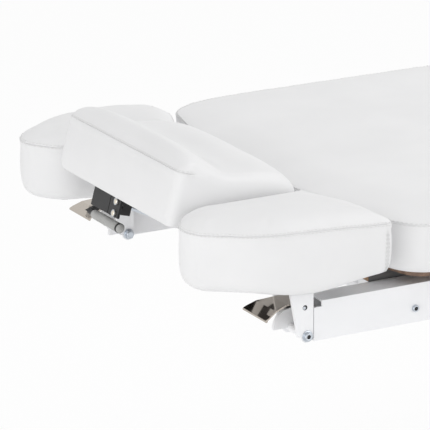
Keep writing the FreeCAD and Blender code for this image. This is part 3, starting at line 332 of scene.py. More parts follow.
class Cushion:
    """A cushion as rings of points from the underside up over the seam to the middle of the top.

    rise gives the height of the top, spacing is the distance of points along a ring, rim gives how far the
    underside's rim stands above the rest by X, and the outline's corners named by number dip by sink.
    The simulation remeshes the cushion at voxel and moves no point by more than cap.
    """

    def __init__(self, name, outline, seam_z, depth, rise, shoulder, spacing, inner_rings, voxel, cap,
                 foot_inset=FOOT_INSET, rim=None, corners=(), sink=0.0):
        self.name = name
        self.voxel, self.cap = voxel, cap
        points, radii = outline

        def ring_at(inset):
            return rounded_ring(points, radii, inset, spacing)

        def at_height(ring, z):
            return np.column_stack([ring, np.broadcast_to(z, len(ring))])

        def softness(ring):
            near = [np.exp(-((ring - points[k]) ** 2).sum(1) / SOFT_REACH ** 2) for k in corners]
            return np.max(near, axis=0) if near else np.zeros(len(ring))

        def top(ring, height):
            return at_height(ring, seam_z + height - softness(ring) * sink * (1 + height / SOFT_CROWN))

        middle = ring_at(SEAM_INSET).mean(0)
        rings = []
        under = ring_at(foot_inset + SWELL)
        lift = rim(under[:, 0]) if rim else np.zeros(len(under))
        for share in UNDER_SHARES:
            rise_here = lift * max(0.0, share - BOARD_SHARE) / (1 - BOARD_SHARE)
            rings.append(at_height(middle + (under - middle) * share, seam_z - depth + rise_here))
        for drop in sorted({*(depth * share for share in WALL_SHARES), *SEAM_STEPS}, reverse=True):
            inset = np.interp(drop / depth, WALL_PROFILE[:, 0], WALL_PROFILE[:, 1])
            if drop > depth / 2:
                inset *= foot_inset / FOOT_INSET
            ring = ring_at(inset + SWELL * min(1.0, drop / SWELL_DROP))
            dip = softness(ring) * sink * (1 - drop / depth)
            rings.append(at_height(ring, seam_z - drop * (1 - lift / depth) - dip))
        self.seam = len(rings)
        rings.append(top(ring_at(SEAM_INSET), 0.0))
        for step in [s for s in TOP_STEPS if s < shoulder - TOP_MARGIN]:
            inset = SEAM_INSET + step
            ring = ring_at(inset)
            rings.append(top(ring, rise(ring, inset, 0.0)))
        inner = ring_at(shoulder)
        for k in range(inner_rings):
            share = k / inner_rings
            ring = inner + (middle - inner) * share
            rings.append(top(ring, rise(ring, shoulder, share)))
        self.rings = np.array(rings)
        self.upright = None
        self.object = link(self.mesh(), name)

    def mesh(self):
        """The rings as a closed mesh, with a point in the middle of the top and of the underside."""
        count, size = self.rings.shape[:2]
        faces = strips(count, size)
        low, high = count * size, count * size + 1
        last = (count - 1) * size
        faces += [(low, (i + 1) % size, i) for i in range(size)]
        faces += [(high, last + i, last + (i + 1) % size) for i in range(size)]
        ends = [self.rings[0].mean(0), self.rings[-1].mean(0)]
        return mesh_from(self.name, np.concatenate([self.rings.reshape(-1, 3), ends]), faces)

    def refresh(self):
        """Puts the rings back into the object's mesh."""
        old = self.object.data
        self.object.data = self.mesh()
        self.object.data.shade_smooth()
        bpy.data.meshes.remove(old)

    def normals(self):
        """The cover's direction outward at each point of the rings."""
        count = self.rings.shape[0] * self.rings.shape[1]
        flat = np.zeros(len(self.object.data.vertices) * 3, np.float32)
        self.object.data.vertex_normals.foreach_get("vector", flat)
        return flat.reshape(-1, 3)[:count].reshape(self.rings.shape).astype(float)

    def wall_rows(self):
        """The rings that an upright seam crosses, from the wall's foot to a little below the seam."""
        low, high = WALL_SEAM_ENDS
        return slice(len(UNDER_SHARES) + low, self.seam - high)

    def seam_distance(self):
        """Signed distance of each ring from the seam along the cover, positive on the top."""
        step = np.linalg.norm(np.diff(self.rings, axis=0), axis=2).mean(1)
        along = np.concatenate([[0.0], np.cumsum(step)])
        return along - along[self.seam]

    def cross_over(self):
        """Mirrors the cushion to the other side of the table."""
        self.rings = (self.rings * (1, -1, 1))[:, ::-1]
        self.upright = self.rings.shape[1] - 1 - self.upright
        self.refresh()


def points_of(mesh):
    """A mesh's points in millimetres."""
    flat = np.zeros(len(mesh.vertices) * 3)
    mesh.vertices.foreach_get("co", flat)
    return flat.reshape(-1, 3) / MM


def tree_of(points):
    """A search tree of points."""
    tree = KDTree(len(points))
    for i, p in enumerate(points):
        tree.insert(p, i)
    tree.balance()
    return tree


def cloth_copy(cushion):
    """A remeshed copy of a cushion as cloth, held at its underside and its seam, and the copy's points."""
    copy = link(cushion.object.data.copy(), cushion.name + "_cloth")
    remesh = copy.modifiers.new("remesh", "REMESH")
    remesh.mode = "VOXEL"
    remesh.voxel_size = cushion.voxel * MM
    bpy.context.view_layer.update()
    dense = bpy.data.meshes.new_from_object(copy.evaluated_get(bpy.context.evaluated_depsgraph_get()))
    copy.modifiers.clear()
    copy.data = dense
    rest = points_of(dense)
    seam = tree_of(cushion.rings[cushion.seam])
    low = cushion.rings[0, :, 2].min() + HELD_ABOVE
    reach = cushion.voxel * HELD_VOXELS
    held = [i for i, p in enumerate(rest) if p[2] < low or seam.find(p)[2] < reach]
    copy.vertex_groups.new(name="sewn").add(held, 1.0, "REPLACE")
    cloth = copy.modifiers.new("cloth", "CLOTH")
    cloth.settings.vertex_group_mass = "sewn"
    cloth.settings.quality = 4
    cloth.settings.mass = 0.3
    cloth.settings.tension_stiffness = 12.0
    cloth.settings.compression_stiffness = 12.0
    cloth.settings.bending_stiffness = 2.0
    cloth.settings.use_pressure = True
    cloth.settings.uniform_pressure_force = 4.0
    cloth.settings.effector_weights.gravity = 0.0
    cloth.point_cache.frame_end = CLOTH_FRAMES
    return copy, rest


def swell(cushions):
    """Blows the cushions up by a cloth simulation on copies, and moves their rings by what those moved."""
    scene = bpy.context.scene
    copies = [cloth_copy(cushion) for cushion in cushions]
    for number in range(1, CLOTH_FRAMES + 1):
        scene.frame_set(number)
    graph = bpy.context.evaluated_depsgraph_get()
    for cushion, (copy, rest) in zip(cushions, copies):
        move = points_of(copy.evaluated_get(graph).to_mesh()) - rest
        size = np.linalg.norm(move, axis=1, keepdims=True)
        move *= np.minimum(1.0, cushion.cap / np.maximum(size, 1e-6))
        tree = tree_of(rest)
        flat = cushion.rings.reshape(-1, 3)
        for i, p in enumerate(flat):
            near = tree.find_n(p, NEAR_POINTS)
            weights = np.array([1.0 / (d * d + NEAR_SOFTNESS) for _, _, d in near])
            flat[i] = p + (weights[:, None] * move[[j for _, j, _ in near]]).sum(0) / weights.sum()
        mesh = copy.data
        bpy.data.objects.remove(copy)
        bpy.data.meshes.remove(mesh)
        cushion.refresh()
    scene.frame_set(1)


def seam_share(cushion, until_x):
    """1 where a cushion's seam is sewn, easing to 0 past until_x; without that it is sewn all round."""
    if until_x is None:
        return np.ones(cushion.rings.shape[1])
    return 1 - smooth((cushion.rings[cushion.seam][:, 0] - until_x) / SEAM_FADE)


def sew(cushion, seed, until_x):
    """Pulls the seam in, rolls the cover beside it and puckers it a little along its length."""
    normals = cushion.normals()
    s = cushion.seam_distance()
    apart = np.abs(s)
    dents = np.interp(apart, SEAM_DENTS[:, 0], SEAM_DENTS[:, 1])
    seam = cushion.rings[cushion.seam]
    step = np.linalg.norm(np.roll(seam, -1, 0) - seam, axis=1)
    length = step.sum()
    turn = np.concatenate([[0.0], np.cumsum(step)[:-1]]) / length * 2 * np.pi
    rng = np.random.default_rng(seed)
    waves = [np.sin(round(length / period) * turn + rng.uniform(0, PHASES)) for period in PUCKER_PERIODS]
    on_top, on_wall = PUCKER_FADE
    fade = np.exp(-apart / np.where(s > 0, on_top, on_wall)) * np.minimum(1.0, apart / PUCKER_START)
    pucker = PUCKER * fade[:, None] * sum(waves)[None, :] / PUCKER_SCALE
    move = (dents[:, None] + pucker) * seam_share(cushion, until_x)
    cushion.rings = cushion.rings + normals * move[:, :, None]
    cushion.refresh()


def round_over(cushion, weight, reach, passes):
    """Eases the edge at the seam over reach rings on either side, by weight round the cushion."""
    p = cushion.rings
    near = slice(cushion.seam - reach, cushion.seam + reach + 1)
    for _ in range(passes):
        middle = (p[near.start - 1:near.stop - 1] + p[near.start + 1:near.stop + 1]) / 2
        p[near] += weight[None, :, None] * (middle - p[near]) / 2
    cushion.refresh()


def wall_seam(cushion, x):
    """Presses an upright seam into the outer wall near x."""
    wall = cushion.rings[cushion.seam]
    outer = np.abs(wall[:, 1]) > np.abs(wall[:, 1]).max() - OUTER_WALL
    at = int(np.argmin(np.where(outer, np.abs(wall[:, 0] - x), np.inf)))
    normals = cushion.normals()
    rows = cushion.wall_rows()
    for step, dent in WALL_SEAM_DENTS:
        cushion.rings[rows, at + step] += normals[rows, at + step] * dent
    cushion.upright = at
    cushion.refresh()


def thread(path, normals, share, pitch, closed):
    """Points and faces of short stitches along a path, a little sunk in, where share is over a half."""
    if closed:
        path, normals = np.vstack([path, path[:1]]), np.vstack([normals, normals[:1]])
        share = np.append(share, share[0])
    along = np.concatenate([[0.0], np.cumsum(np.linalg.norm(np.diff(path, axis=0), axis=1))])
    length = along[-1]
    starts = np.linspace(0.0, length, int(length / pitch), endpoint=False)
    starts = starts[np.interp(starts, along, share) > 0.5]

    def at(values, where):
        return np.column_stack([np.interp(where % length, along, values[:, k]) for k in range(3)])

    verts, faces = [], []
    for place, fat in STITCH_SHAPE:
        where = starts + place * STITCH_LENGTH
        centre = at(path, where)
        ahead = at(path, where + LOOK_AHEAD) - centre
        ahead /= np.linalg.norm(ahead, axis=1)[:, None]
        up = at(normals, where)
        side = np.cross(ahead, up)
        side /= np.linalg.norm(side, axis=1)[:, None]
        lift = STITCH_RADIUS * (STITCH_STAND if 0 < place < 1 else -STITCH_SINK)
        for k in range(STITCH_SIDES):
            a = 2 * np.pi * k / STITCH_SIDES
            verts.append(centre + up * lift + (side * math.cos(a) + up * math.sin(a)) * STITCH_RADIUS * fat)
    stitches = np.array(verts).transpose(1, 0, 2)
    for number in range(len(stitches)):
        faces += closed_tube(len(STITCH_SHAPE), STITCH_SIDES, number * len(verts))
    return stitches.reshape(-1, 3), faces


def stitching(cushion, pitch, until_x):
    """The rows of stitches on both sides of a cushion's seams, as one piece."""
    normals = cushion.normals()
    share = seam_share(cushion, until_x)
    s = cushion.seam_distance()
    rows = [int(np.argmin(np.abs(s - offset))) for offset in (-STITCH_OFFSET, STITCH_OFFSET)]
    threads = [thread(cushion.rings[row], normals[row], share, pitch, True) for row in rows]
    if cushion.upright is not None:
        for step in (-1, 1):
            place = cushion.wall_rows(), cushion.upright + step
            path = cushion.rings[place]
            threads.append(thread(path, normals[place], np.ones(len(path)), pitch, False))
    verts, faces = [], []
    for points, links in threads:
        base = sum(len(v) for v in verts)
        verts.append(points)
        faces += [tuple(i + base for i in face) for face in links]
    name = cushion.name + "_stitching"
    return link(mesh_from(name, np.concatenate(verts), faces), name)


def tilt_head(rings):
    """Turns points of the flat head section to its angle at rest, about the head hinge."""
    dx, dz = rings[..., 0] - HEAD_HINGE[0], rings[..., 2] - HEAD_HINGE[1]
    c, s = math.cos(HEAD_REST_TILT), math.sin(HEAD_REST_TILT)
    tilted = rings.copy()
    tilted[..., 0] = HEAD_HINGE[0] + dx * c + dz * s
    tilted[..., 2] = HEAD_HINGE[1] - dx * s + dz * c
    return tilted


def crease(cushion, x, y, half_length, depth, width):
    """Presses a short sewn crease along Y into a cushion's top, in a wider and shallower dip."""
    p = cushion.rings
    top = (np.arange(len(p)) > cushion.seam)[:, None]
    across = (p[..., 0] - x) / width
    along = np.sqrt(np.clip(1 - ((p[..., 1] - y) / half_length) ** 2, 0.0, 1.0))
    share, spread = CREASE_DIP
    press = depth * along * (np.exp(-across ** 2) + share * np.exp(-(across / spread) ** 2))
    p[..., 2] -= np.where(top, press, 0.0)


def arm_pad(side, sink):
    """An arm pad in the left one's place."""
    rise = plain_crown(ARM_CROWN, ARM_SHOULDER, power=2)
    return Cushion("arm_pad_" + side, arm_outline(), SEAM_Z, ARM_DEPTH, rise, ARM_SHOULDER,
                   spacing=2.6, inner_rings=18, voxel=5.0, cap=3.2, rim=arm_rim, corners=(2,), sink=sink)


def upholster(materials):
    """Every cushion with its stitching, on the body that carries it."""
    left = arm_pad("left", ARM_SINK)
    head = Cushion("head_pad", head_outline(), SEAM_Z, HEAD_DEPTH, contoured_crown(), HEAD_SHOULDER,
                   spacing=2.6, inner_rings=56, voxel=5.0, cap=3.0, foot_inset=HEAD_FOOT_INSET)
    plain = plain_crown(CROWN, SHOULDER, power=3)
    back = Cushion("backrest_pad", back_outline(), BACK_SEAM_Z, CUSHION_DEPTH, plain, SHOULDER,
                   spacing=5.0, inner_rings=18, voxel=9.0, cap=4.0, corners=(2, 5), sink=BACK_SINK)
    seat = Cushion("seat_pad", seat_outline(), BACK_SEAM_Z, CUSHION_DEPTH, plain, SHOULDER,
                   spacing=6.0, inner_rings=20, voxel=11.0, cap=4.0)
    right = arm_pad("right", NEAR_ARM_SINK)
    swell((left, right, head, back, seat))
    sewn_to = {head: HEAD_SEWN_X}
    for seed, cushion in enumerate((left, head, back, seat, right), 1):
        sew(cushion, seed, sewn_to.get(cushion))
    round_over(head, 1 - seam_share(head, HEAD_SEWN_X), *HEAD_EASED)
    for cushion in (left, right):
        wall_seam(cushion, WALL_SEAM_X)
    for ahead, *form in CREASES:
        crease(head, HEAD_HINGE[0] - ahead, *form)
    head.rings = tilt_head(head.rings)
    head.refresh()
    right.cross_over()
    # Each cushion with the CAD node that it stands for, its body and the pitch of its stitches
    places = ((left, "arm_cushion_left", "arm_left", 6.0), (right, "arm_cushion_right", "arm_right", 6.0),
              (head, "head_cushion", "head", 6.0), (back, "backrest_cushion", "backrest", 7.0),
              (seat, "seat_cushion", "carriage", 8.0))
    for cushion, node, body, pitch in places:
        rows = stitching(cushion, pitch, sewn_to.get(cushion))
        set_piece(cushion.object, body, materials["white_upholstery"])
        set_piece(rows, body, materials["thread"])
        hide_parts(node)


# Small fittings

HEAD_BOARD_LOW = SEAM_Z - HEAD_DEPTH - HEAD_BOARD
RELEASE_FRONT_X = HEAD_HINGE[0] - 190.0
RIVETS = ((47.0, 10.0), (47.0, 28.5))          # place along Y and drop below the head board
GRIP_CENTRE = (HEAD_HINGE[0] - 188.5, SEAM_Z - 134.5)
GRIP_Y = (17.0, 109.0)
GRIP_RADIUS = 7.0
GRIP_ROUND = 5.0          # its ends are rounded over this length
GRIP_TIP = 0.02           # square of the share of its radius at its very ends
GRIP_RINGS = 260
GRIP_SIDES = 48
RIB_PITCH = 3.6
RIB_HEIGHT = 0.42
RIB_START = 6.0           # the ribs start this far from its ends
RIB_FADE = 4.0            # and come to their height over this length
ARM_PIVOT = (HEAD_TIP_X + 181.0, SEAM_Z - 174.0)
PADDLE_PIN = (HEAD_TIP_X + 177.0, SEAM_Z - 130.0)
PIN_OFFSET = (-0.8, -0.7)            # how far a pin lies off the middle of its hole, along X and Z
EAR_OUTER_Y = 307.5
EARS = (("inner", 249.0, -1, 6.5, 0.0),        # face along Y, way out, how far the bolt stands out
        ("outer", EAR_OUTER_Y, 1, 4.5, 1.0))   # and how deep the paddle's pin ends
RAIL_SCREWS_X = (ARM_PIVOT[0] + 183.2, BACK_HINGE_X - CUSHION_GAP / 2 - 80.0)
RAIL_SCREW_Y = EAR_OUTER_Y + 3.0
RAIL_SCREW_Z = SEAM_Z - 161.5
BOLT_RADIUS = 6.4
SCREW_RADIUS = 5.2
SOCKET_RADIUS = 3.0
BATTEN_Y = (225.0, 270.0)
BATTEN_REACH = 6.0        # the battens start this far ahead of the CAD ones
BATTEN_EDGE = 1.0         # their ends are eased by this much
BATTEN_CORNER = 2.5
BATTEN_SPACING = 4.0

# Forms of turned pieces: the number of sides, then distances along the axis and radii
GRIP_RING = (GRIP_SIDES, ((5.0, 6.9), (5.3, 7.7), (8.7, 7.7), (9.0, 6.9)))
RIVET_DOME = (32, ((0.0, 5.6), (0.7, 5.6), (1.6, 5.2), (2.5, 4.3), (3.2, 3.1), (3.6, 1.6), (3.7, 0.3)))
WASHER = (36, ((0.0, 4.2), (0.0, 8.2), (0.2, 8.5), (1.0, 8.5), (1.2, 8.2), (1.2, 4.2)))
# a thin black ring that paints the shade inside a pin's hole
PIN_SHADE_RING = (32, ((0.0, 3.9), (0.2, 3.9)))
PIN_END = (28, ((0.1, 2.6), (0.5, 2.5), (0.6, 2.2)))
# a black hexagon that paints the shade inside a bolt's socket
SOCKET_SHADE = (6, ((0.2, SOCKET_RADIUS + 0.6), (0.5, SOCKET_RADIUS + 0.6)))
CAP_SIDES = 36
CAP_EDGE = ((0.0, 0.0), (0.7, -0.2), (1.3, -1.0))        # radii against the bolt's
SOCKET_EDGE = ((1.3, 0.4), (0.1, 0.0))                   # radii against the socket's


def turned(name, form, origin, axis, tilt=False):
    """A turned piece; tilt turns it with the head section."""
    sides, profile = form
    profile = np.array(profile, float)
    axis = np.array(axis, float)
    up = np.array([0.0, 0.0, 1.0])
    a = np.linspace(0.0, 2 * np.pi, sides, endpoint=False)
    circle = np.cos(a)[:, None] * up + np.sin(a)[:, None] * np.cross(axis, up)
    verts = np.array(origin) + profile[:, :1, None] * axis + profile[:, 1:, None] * circle[None]
    if tilt:
        verts = tilt_head(verts)
    return link(mesh_from(name, verts.reshape(-1, 3), closed_tube(len(profile), sides)), name)


def head_release(materials):
    """The ribbed grip with its dark end ring, and the domes of the plate's rivets."""
    length = GRIP_Y[1] - GRIP_Y[0]
    along = np.linspace(0.0, length, GRIP_RINGS)
    from_end = np.minimum(along, length - along)
    tips = np.sqrt(np.clip(1 - (1 - np.clip(from_end / GRIP_ROUND, 0.0, 1.0)) ** 2, GRIP_TIP, 1.0))
    height = RIB_HEIGHT * np.clip((from_end - RIB_START) / RIB_FADE, 0.0, 1.0)
    ribs = height * np.sin(2 * np.pi * along / RIB_PITCH)
    form = (GRIP_SIDES, np.column_stack([along, (GRIP_RADIUS + ribs) * tips]))
    place = (GRIP_CENTRE[0], GRIP_Y[0], GRIP_CENTRE[1])
    grip = turned("ribbed_grip", form, place, (0, 1, 0), tilt=True)
    set_piece(grip, "head_handle", materials["grey_rubber"])
    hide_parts("head_lever_grip")
    ring = turned("grip_ring", GRIP_RING, place, (0, 1, 0), tilt=True)
    set_piece(ring, "head_handle", materials["black_rubber"])
    for k, (y, drop) in enumerate(RIVETS, 1):
        place = (RELEASE_FRONT_X, y, HEAD_BOARD_LOW - drop)
        rivet = turned("release_rivet_%d" % k, RIVET_DOME, place, (-1, 0, 0), tilt=True)
        set_piece(rivet, "head", materials["nickel"])


def backrest_battens(materials):
    """The backrest's battens with eased edges, out to the rails and further to the head, as in the photo."""
    low, high = (np.array(corner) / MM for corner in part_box("backrest_battens"))
    x0, x1 = low[0] - BATTEN_REACH, high[0]
    y0, y1 = BATTEN_Y
    section = [(y0, low[2]), (y1, low[2]), (y1, high[2]), (y0, high[2])]
    rings = []
    for x, inset in ((x0, BATTEN_EDGE), (x0 + BATTEN_EDGE, 0.0), (x1 - BATTEN_EDGE, 0.0), (x1, BATTEN_EDGE)):
        ring = rounded_ring(section, [BATTEN_CORNER] * len(section), inset, BATTEN_SPACING)
        rings.append(np.column_stack([np.full(len(ring), x), ring]))
    left = np.concatenate(rings)
    faces = closed_tube(len(rings), len(rings[0]))
    other = [tuple(len(left) + i for i in reversed(face)) for face in faces]
    pair = mesh_from("backrest_batten_pair", np.concatenate([left, left * (1, -1, 1)]), faces + other)
    piece = link(pair, "backrest_batten_pair")
    set_piece(piece, "backrest", materials["batten"])
    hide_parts("backrest_battens")


def socket_cap(name, place, axis, radius, body, materials):
    """A chamfered rim round a hexagon socket, on a bolt's head or end, with a black hexagon in the socket as
    painted shade.
    """
    profile = [(along, radius + r) for along, r in CAP_EDGE]
    profile += [(along, SOCKET_RADIUS + r) for along, r in SOCKET_EDGE]
    rim = turned(name + "_rim", (CAP_SIDES, profile), place, axis)
    set_piece(rim, body, materials["zinc"])
    # the black hexagon is painted shade deep in the socket, not black paint on the bolt
    socket = turned(name + "_socket_shade", SOCKET_SHADE, place, axis)
    set_piece(socket, body, materials["black_paint"])


def pin_shade_ring(name, place, axis, body, materials):
    """A thin black ring painted as the shade inside the hole round a pin that ends there, and the pin's own
    bright end.
    """
    hole = turned(name + "_hole_shade", PIN_SHADE_RING, place, axis)
    # black paint here is painted shade in the hole, not a painted part
    set_piece(hole, body, materials["black_paint"])
    place = (place[0] + PIN_OFFSET[0], place[1], place[2] + PIN_OFFSET[1])
    end = turned(name + "_end", PIN_END, place, axis)
    set_piece(end, body, materials["zinc"])


def side_fasteners(materials):
    """Washers, socket caps and pin ends, with painted shade in the sockets and round the pins, on the arm
    brackets and the rails' screws.
    """
    for side, sign in (("left", 1), ("right", -1)):
        body = "arm_" + side
        for ear, face, way, reach, recess in EARS:
            axis = (0, sign * way, 0)
            label = "%s_%s" % (side, ear)
            washer = turned("pivot_washer_" + label, WASHER, (ARM_PIVOT[0], sign * face, ARM_PIVOT[1]), axis)
            set_piece(washer, body, materials["zinc"])
            bolt = (ARM_PIVOT[0], sign * (face + way * reach), ARM_PIVOT[1])
            socket_cap("pivot_bolt_" + label, bolt, axis, BOLT_RADIUS, body, materials)
            pin = (PADDLE_PIN[0], sign * (face - recess), PADDLE_PIN[1])
            pin_shade_ring("paddle_pin_" + label, pin, axis, body, materials)
        for k, x in enumerate(RAIL_SCREWS_X, 1):
            name = "rail_screw_%s_%d" % (side, k)
            screw = (x, sign * RAIL_SCREW_Y, RAIL_SCREW_Z)
            socket_cap(name, screw, (0, sign, 0), SCREW_RADIUS, "backrest", materials)


# Materials

class Nodes:
    """A material's node tree, with short calls for what the materials below share."""

    def __init__(self, name):
        self.material = bpy.data.materials.new(name)
        self.material.use_nodes = True
        self.tree = self.material.node_tree
        self.shader = self.tree.nodes["Principled BSDF"]
        self.place = self.add("ShaderNodeTexCoord").outputs["Object"]

    def add(self, kind, **settings):
        """A new node with its settings."""
        node = self.tree.nodes.new(kind)
        for key, value in settings.items():
            setattr(node, key, value)
        return node

    def join(self, source, target):
        """Links an output to an input."""
        self.tree.links.new(source, target)

    def stretched(self, scale):
        """The place on the piece, scaled along each axis."""
        mapping = self.add("ShaderNodeMapping")
        mapping.inputs["Scale"].default_value = scale
        self.join(self.place, mapping.inputs["Vector"])
        return mapping.outputs["Vector"]

    def noise(self, scale, detail=3.0, vector=None):
        """Soft noise over the piece."""
        node = self.add("ShaderNodeTexNoise")
        node.inputs["Scale"].default_value = scale
        node.inputs["Detail"].default_value = detail
        self.join(vector or self.place, node.inputs["Vector"])
        return node.outputs["Fac"]

    def cells(self, scale):
        """Distance from scattered points, for a pebbled grain."""
        node = self.add("ShaderNodeTexVoronoi")
        node.inputs["Scale"].default_value = scale
        self.join(self.place, node.inputs["Vector"])
        return node.outputs["Distance"]

    def ramp(self, value, stops):
        """A colour by value, between two stops that each have a place and a colour."""
        node = self.add("ShaderNodeValToRGB")
        for element, (position, colour) in zip(node.color_ramp.elements, stops):
            element.position, element.color = position, (*colour, 1.0)
        self.join(value, node.inputs["Fac"])
        return node.outputs["Color"]

    def range(self, value, low, high):
        """A value brought between low and high."""
        node = self.add("ShaderNodeMapRange")
        node.inputs["To Min"].default_value = low
        node.inputs["To Max"].default_value = high
        self.join(value, node.inputs["Value"])
        return node.outputs["Result"]

    def bump(self, heights):
        """Chains bumps, each a height with its strength and depth in metres."""
        last = None
        for height, strength, depth in heights:
            node = self.add("ShaderNodeBump")
            node.inputs["Strength"].default_value = strength
            node.inputs["Distance"].default_value = depth
            self.join(height, node.inputs["Height"])
            if last:
                self.join(last, node.inputs["Normal"])
            last = node.outputs["Normal"]
        self.join(last, self.shader.inputs["Normal"])

    def colour(self, socket):
        """Takes the base colour from a socket."""
        self.join(socket, self.shader.inputs["Base Color"])

    def rough(self, socket):
        """Takes the roughness from a socket."""
        self.join(socket, self.shader.inputs["Roughness"])

    def set(self, **values):
        """Sets inputs of the shader by name, with underscores for spaces."""
        for key, value in values.items():
            self.shader.inputs[key.replace("_", " ")].default_value = value


def shade(colour, share):
    """A colour at a share of its brightness."""
    return tuple(c * share for c in colour)


def upholstery_material():
    """White leatherette: fine pebbled grain, faint cloudiness and a soft satin gloss."""
    n = Nodes("white_leatherette")
    white = (0.825, 0.825, 0.83)
    n.colour(n.ramp(n.noise(9.0, 4.0), ((0.3, shade(white, 0.965)), (0.7, white))))
    n.rough(n.range(n.noise(60.0), 0.40, 0.52))
    n.bump(((n.noise(28.0, 2.0), 0.25, 0.0012),
            (n.cells(1300.0), 0.22, 0.0002),
            (n.noise(2600.0), 0.1, 0.0001)))
    n.set(Specular_IOR_Level=0.42)
    return n.material


def shaded_thread_material():
    """White yarn, rough, its light grey darker than the cover as painted shade of the dents along the
    stitching.
    """
    n = Nodes("thread_with_painted_shade")
    # the grey below the cover's white is painted shade of the stitch dents
    n.colour(n.ramp(n.noise(900.0), ((0.3, (0.70, 0.70, 0.695)), (0.7, (0.79, 0.79, 0.785)))))
    n.rough(n.range(n.noise(700.0), 0.5, 0.7))
    n.bump(((n.noise(3000.0), 0.3, 0.0001),))
    return n.material


def coated_material(name, colour, rough, peel):
    """Powder coat or paint: an even colour with faint clouds and a small orange peel."""
    n = Nodes(name)
    n.colour(n.ramp(n.noise(6.0), ((0.25, shade(colour, 0.95)), (0.75, colour))))
    n.rough(n.range(n.noise(35.0), rough - 0.05, rough + 0.06))
    n.bump(((n.noise(peel, 2.0), 0.3, 0.0002),))
    return n.material


def metal_material(name, colour, rough, stretch):
    """Bare or plated metal with fine brushing along one direction, between two roughnesses."""
    n = Nodes(name)
    lines = n.noise(1.0, 4.0, n.stretched(stretch))
    n.colour(n.ramp(lines, ((0.3, shade(colour, 0.92)), (0.7, colour))))
    n.rough(n.range(lines, *rough))
    n.bump(((lines, 0.06, 0.0002),))
    n.set(Metallic=1.0)
    return n.material


def rubber_material(name, colour):
    """Rubber or moulded plastic: dull, with a fine grain."""
    n = Nodes(name)
    n.colour(n.ramp(n.noise(70.0), ((0.3, shade(colour, 0.85)), (0.7, colour))))
    n.rough(n.range(n.noise(250.0), 0.55, 0.75))
    n.bump(((n.noise(1500.0), 0.35, 0.0002),))
    return n.material


def wood_material(name, dark, light, end=None):
    """Stained plywood with grain along X; where end is given, faces across the grain show bare wood."""
    n = Nodes(name)
    grain = n.noise(1.0, 6.0, n.stretched((14.0, 160.0, 160.0)))
    colour = n.ramp(grain, ((0.32, dark), (0.68, light)))
    if end:
        normal = n.add("ShaderNodeSeparateXYZ")
        n.join(n.add("ShaderNodeNewGeometry").outputs["True Normal"], normal.inputs["Vector"])
        facing = n.add("ShaderNodeMath", operation="ABSOLUTE")
        n.join(normal.outputs["X"], facing.inputs[0])
        across = n.add("ShaderNodeMath", operation="GREATER_THAN")
        across.inputs[1].default_value = 0.9
        n.join(facing.outputs[0], across.inputs[0])
        mix = n.add("ShaderNodeMix", data_type="RGBA")
        bare = n.ramp(n.noise(220.0, 5.0), ((0.3, shade(end, 0.7)), (0.7, end)))
        n.join(across.outputs[0], mix.inputs["Factor"])
        n.join(colour, mix.inputs["A"])
        n.join(bare, mix.inputs["B"])
        colour = mix.outputs["Result"]
    n.colour(colour)
    n.rough(n.range(grain, 0.45, 0.62))
    n.bump(((grain, 0.25, 0.0005),))
    return n.material


def make_materials():
    """Every material: those of the record's slots by the slot's name, then the ones for single pieces."""
    return {
        "white_upholstery": upholstery_material(),
        "white_paint": coated_material("white_powder_coat", (0.92, 0.925, 0.94), rough=0.34, peel=900.0),
        "dark_wood": wood_material("stained_board", (0.13, 0.08, 0.055), (0.26, 0.165, 0.115)),
        "black_paint": coated_material("black_paint", (0.010, 0.010, 0.011), rough=0.42, peel=700.0),
        "black_plastic": rubber_material("black_plastic", (0.030, 0.030, 0.032)),
        # the dimmed beige tint of the chrome is painted reflection of the dark and beige surroundings it
        # mirrors
        "chrome": metal_material("chrome_with_painted_reflection", (0.50, 0.455, 0.405), (0.04, 0.09), (60.0, 900.0, 900.0)),
        "zinc": metal_material("zinc_plate", (0.60, 0.64, 0.69), (0.24, 0.36), (900.0, 200.0, 900.0)),
        "grey_rubber": rubber_material("grey_rubber", (0.44, 0.44, 0.43)),
        "black_rubber": rubber_material("black_rubber", (0.022, 0.022, 0.022)),
        "grey_paint": coated_material("grey_paint", (0.5, 0.51, 0.53), rough=0.4, peel=800.0),
        "black_board": wood_material("black_board", (0.012, 0.011, 0.011), (0.028, 0.025, 0.024)),
        "batten": wood_material("stained_batten", (0.07, 0.07, 0.072), (0.12, 0.118, 0.115),
                                end=(0.42, 0.25, 0.13)),
        "nickel": metal_material("nickel_plate", (0.80, 0.73, 0.62), (0.2, 0.32), (300.0, 300.0, 300.0)),
        "thread": shaded_thread_material(),
    }


def dress_frame(materials):
    """Puts a material on every CAD node, by the record's slots and a few nodes of their own."""
    own = {"arm_board_left": "black_board", "arm_board_right": "black_board", "head_board": "black_board",
           "backrest_battens": "batten", "seat_battens": "batten"}
    for part in frame["record"]["subparts"]:
        node = part["node"]
        mesh = frame["nodes"][node].data
        mesh.materials.clear()
        mesh.materials.append(materials[own.get(node, part["material_slot"])])


# Light, floor and camera, in metres

PHOTO_TARGET = Vector((-0.901, -0.2167, 0.720))
PHOTO_BACK = Vector((-0.4626, -0.8346, 0.2990))          # from the target to the camera
PHOTO_DISTANCE = 5.030
PHOTO_LENS = 293.0
PHOTO_SENSOR = 36.0
VIEW_END = 100.0
WORLD_LIGHT = 0.69
FLOOR_WHITE = 0.9         # how much of the floor's own shading pure white covers
FLOOR_TONE = 0.98
FLOOR_ROUGH = 0.9
FLOOR_REACH = 30.0
LAMP_TARGET = Vector((-0.5, 0.0, 0.7))
LAMP_SIZE = (2.4, 2.2)
LAMPS = (("low_light", (-3.4, -2.0, 1.2), 20.5),         # place, then power in watts
         ("left_light", (-4.0, -0.4, 1.0), 12.5),
         ("right_light", (1.8, -3.8, 1.6), 24.5),
         ("top_light", (1.4, -0.2, 3.4), 35.0))


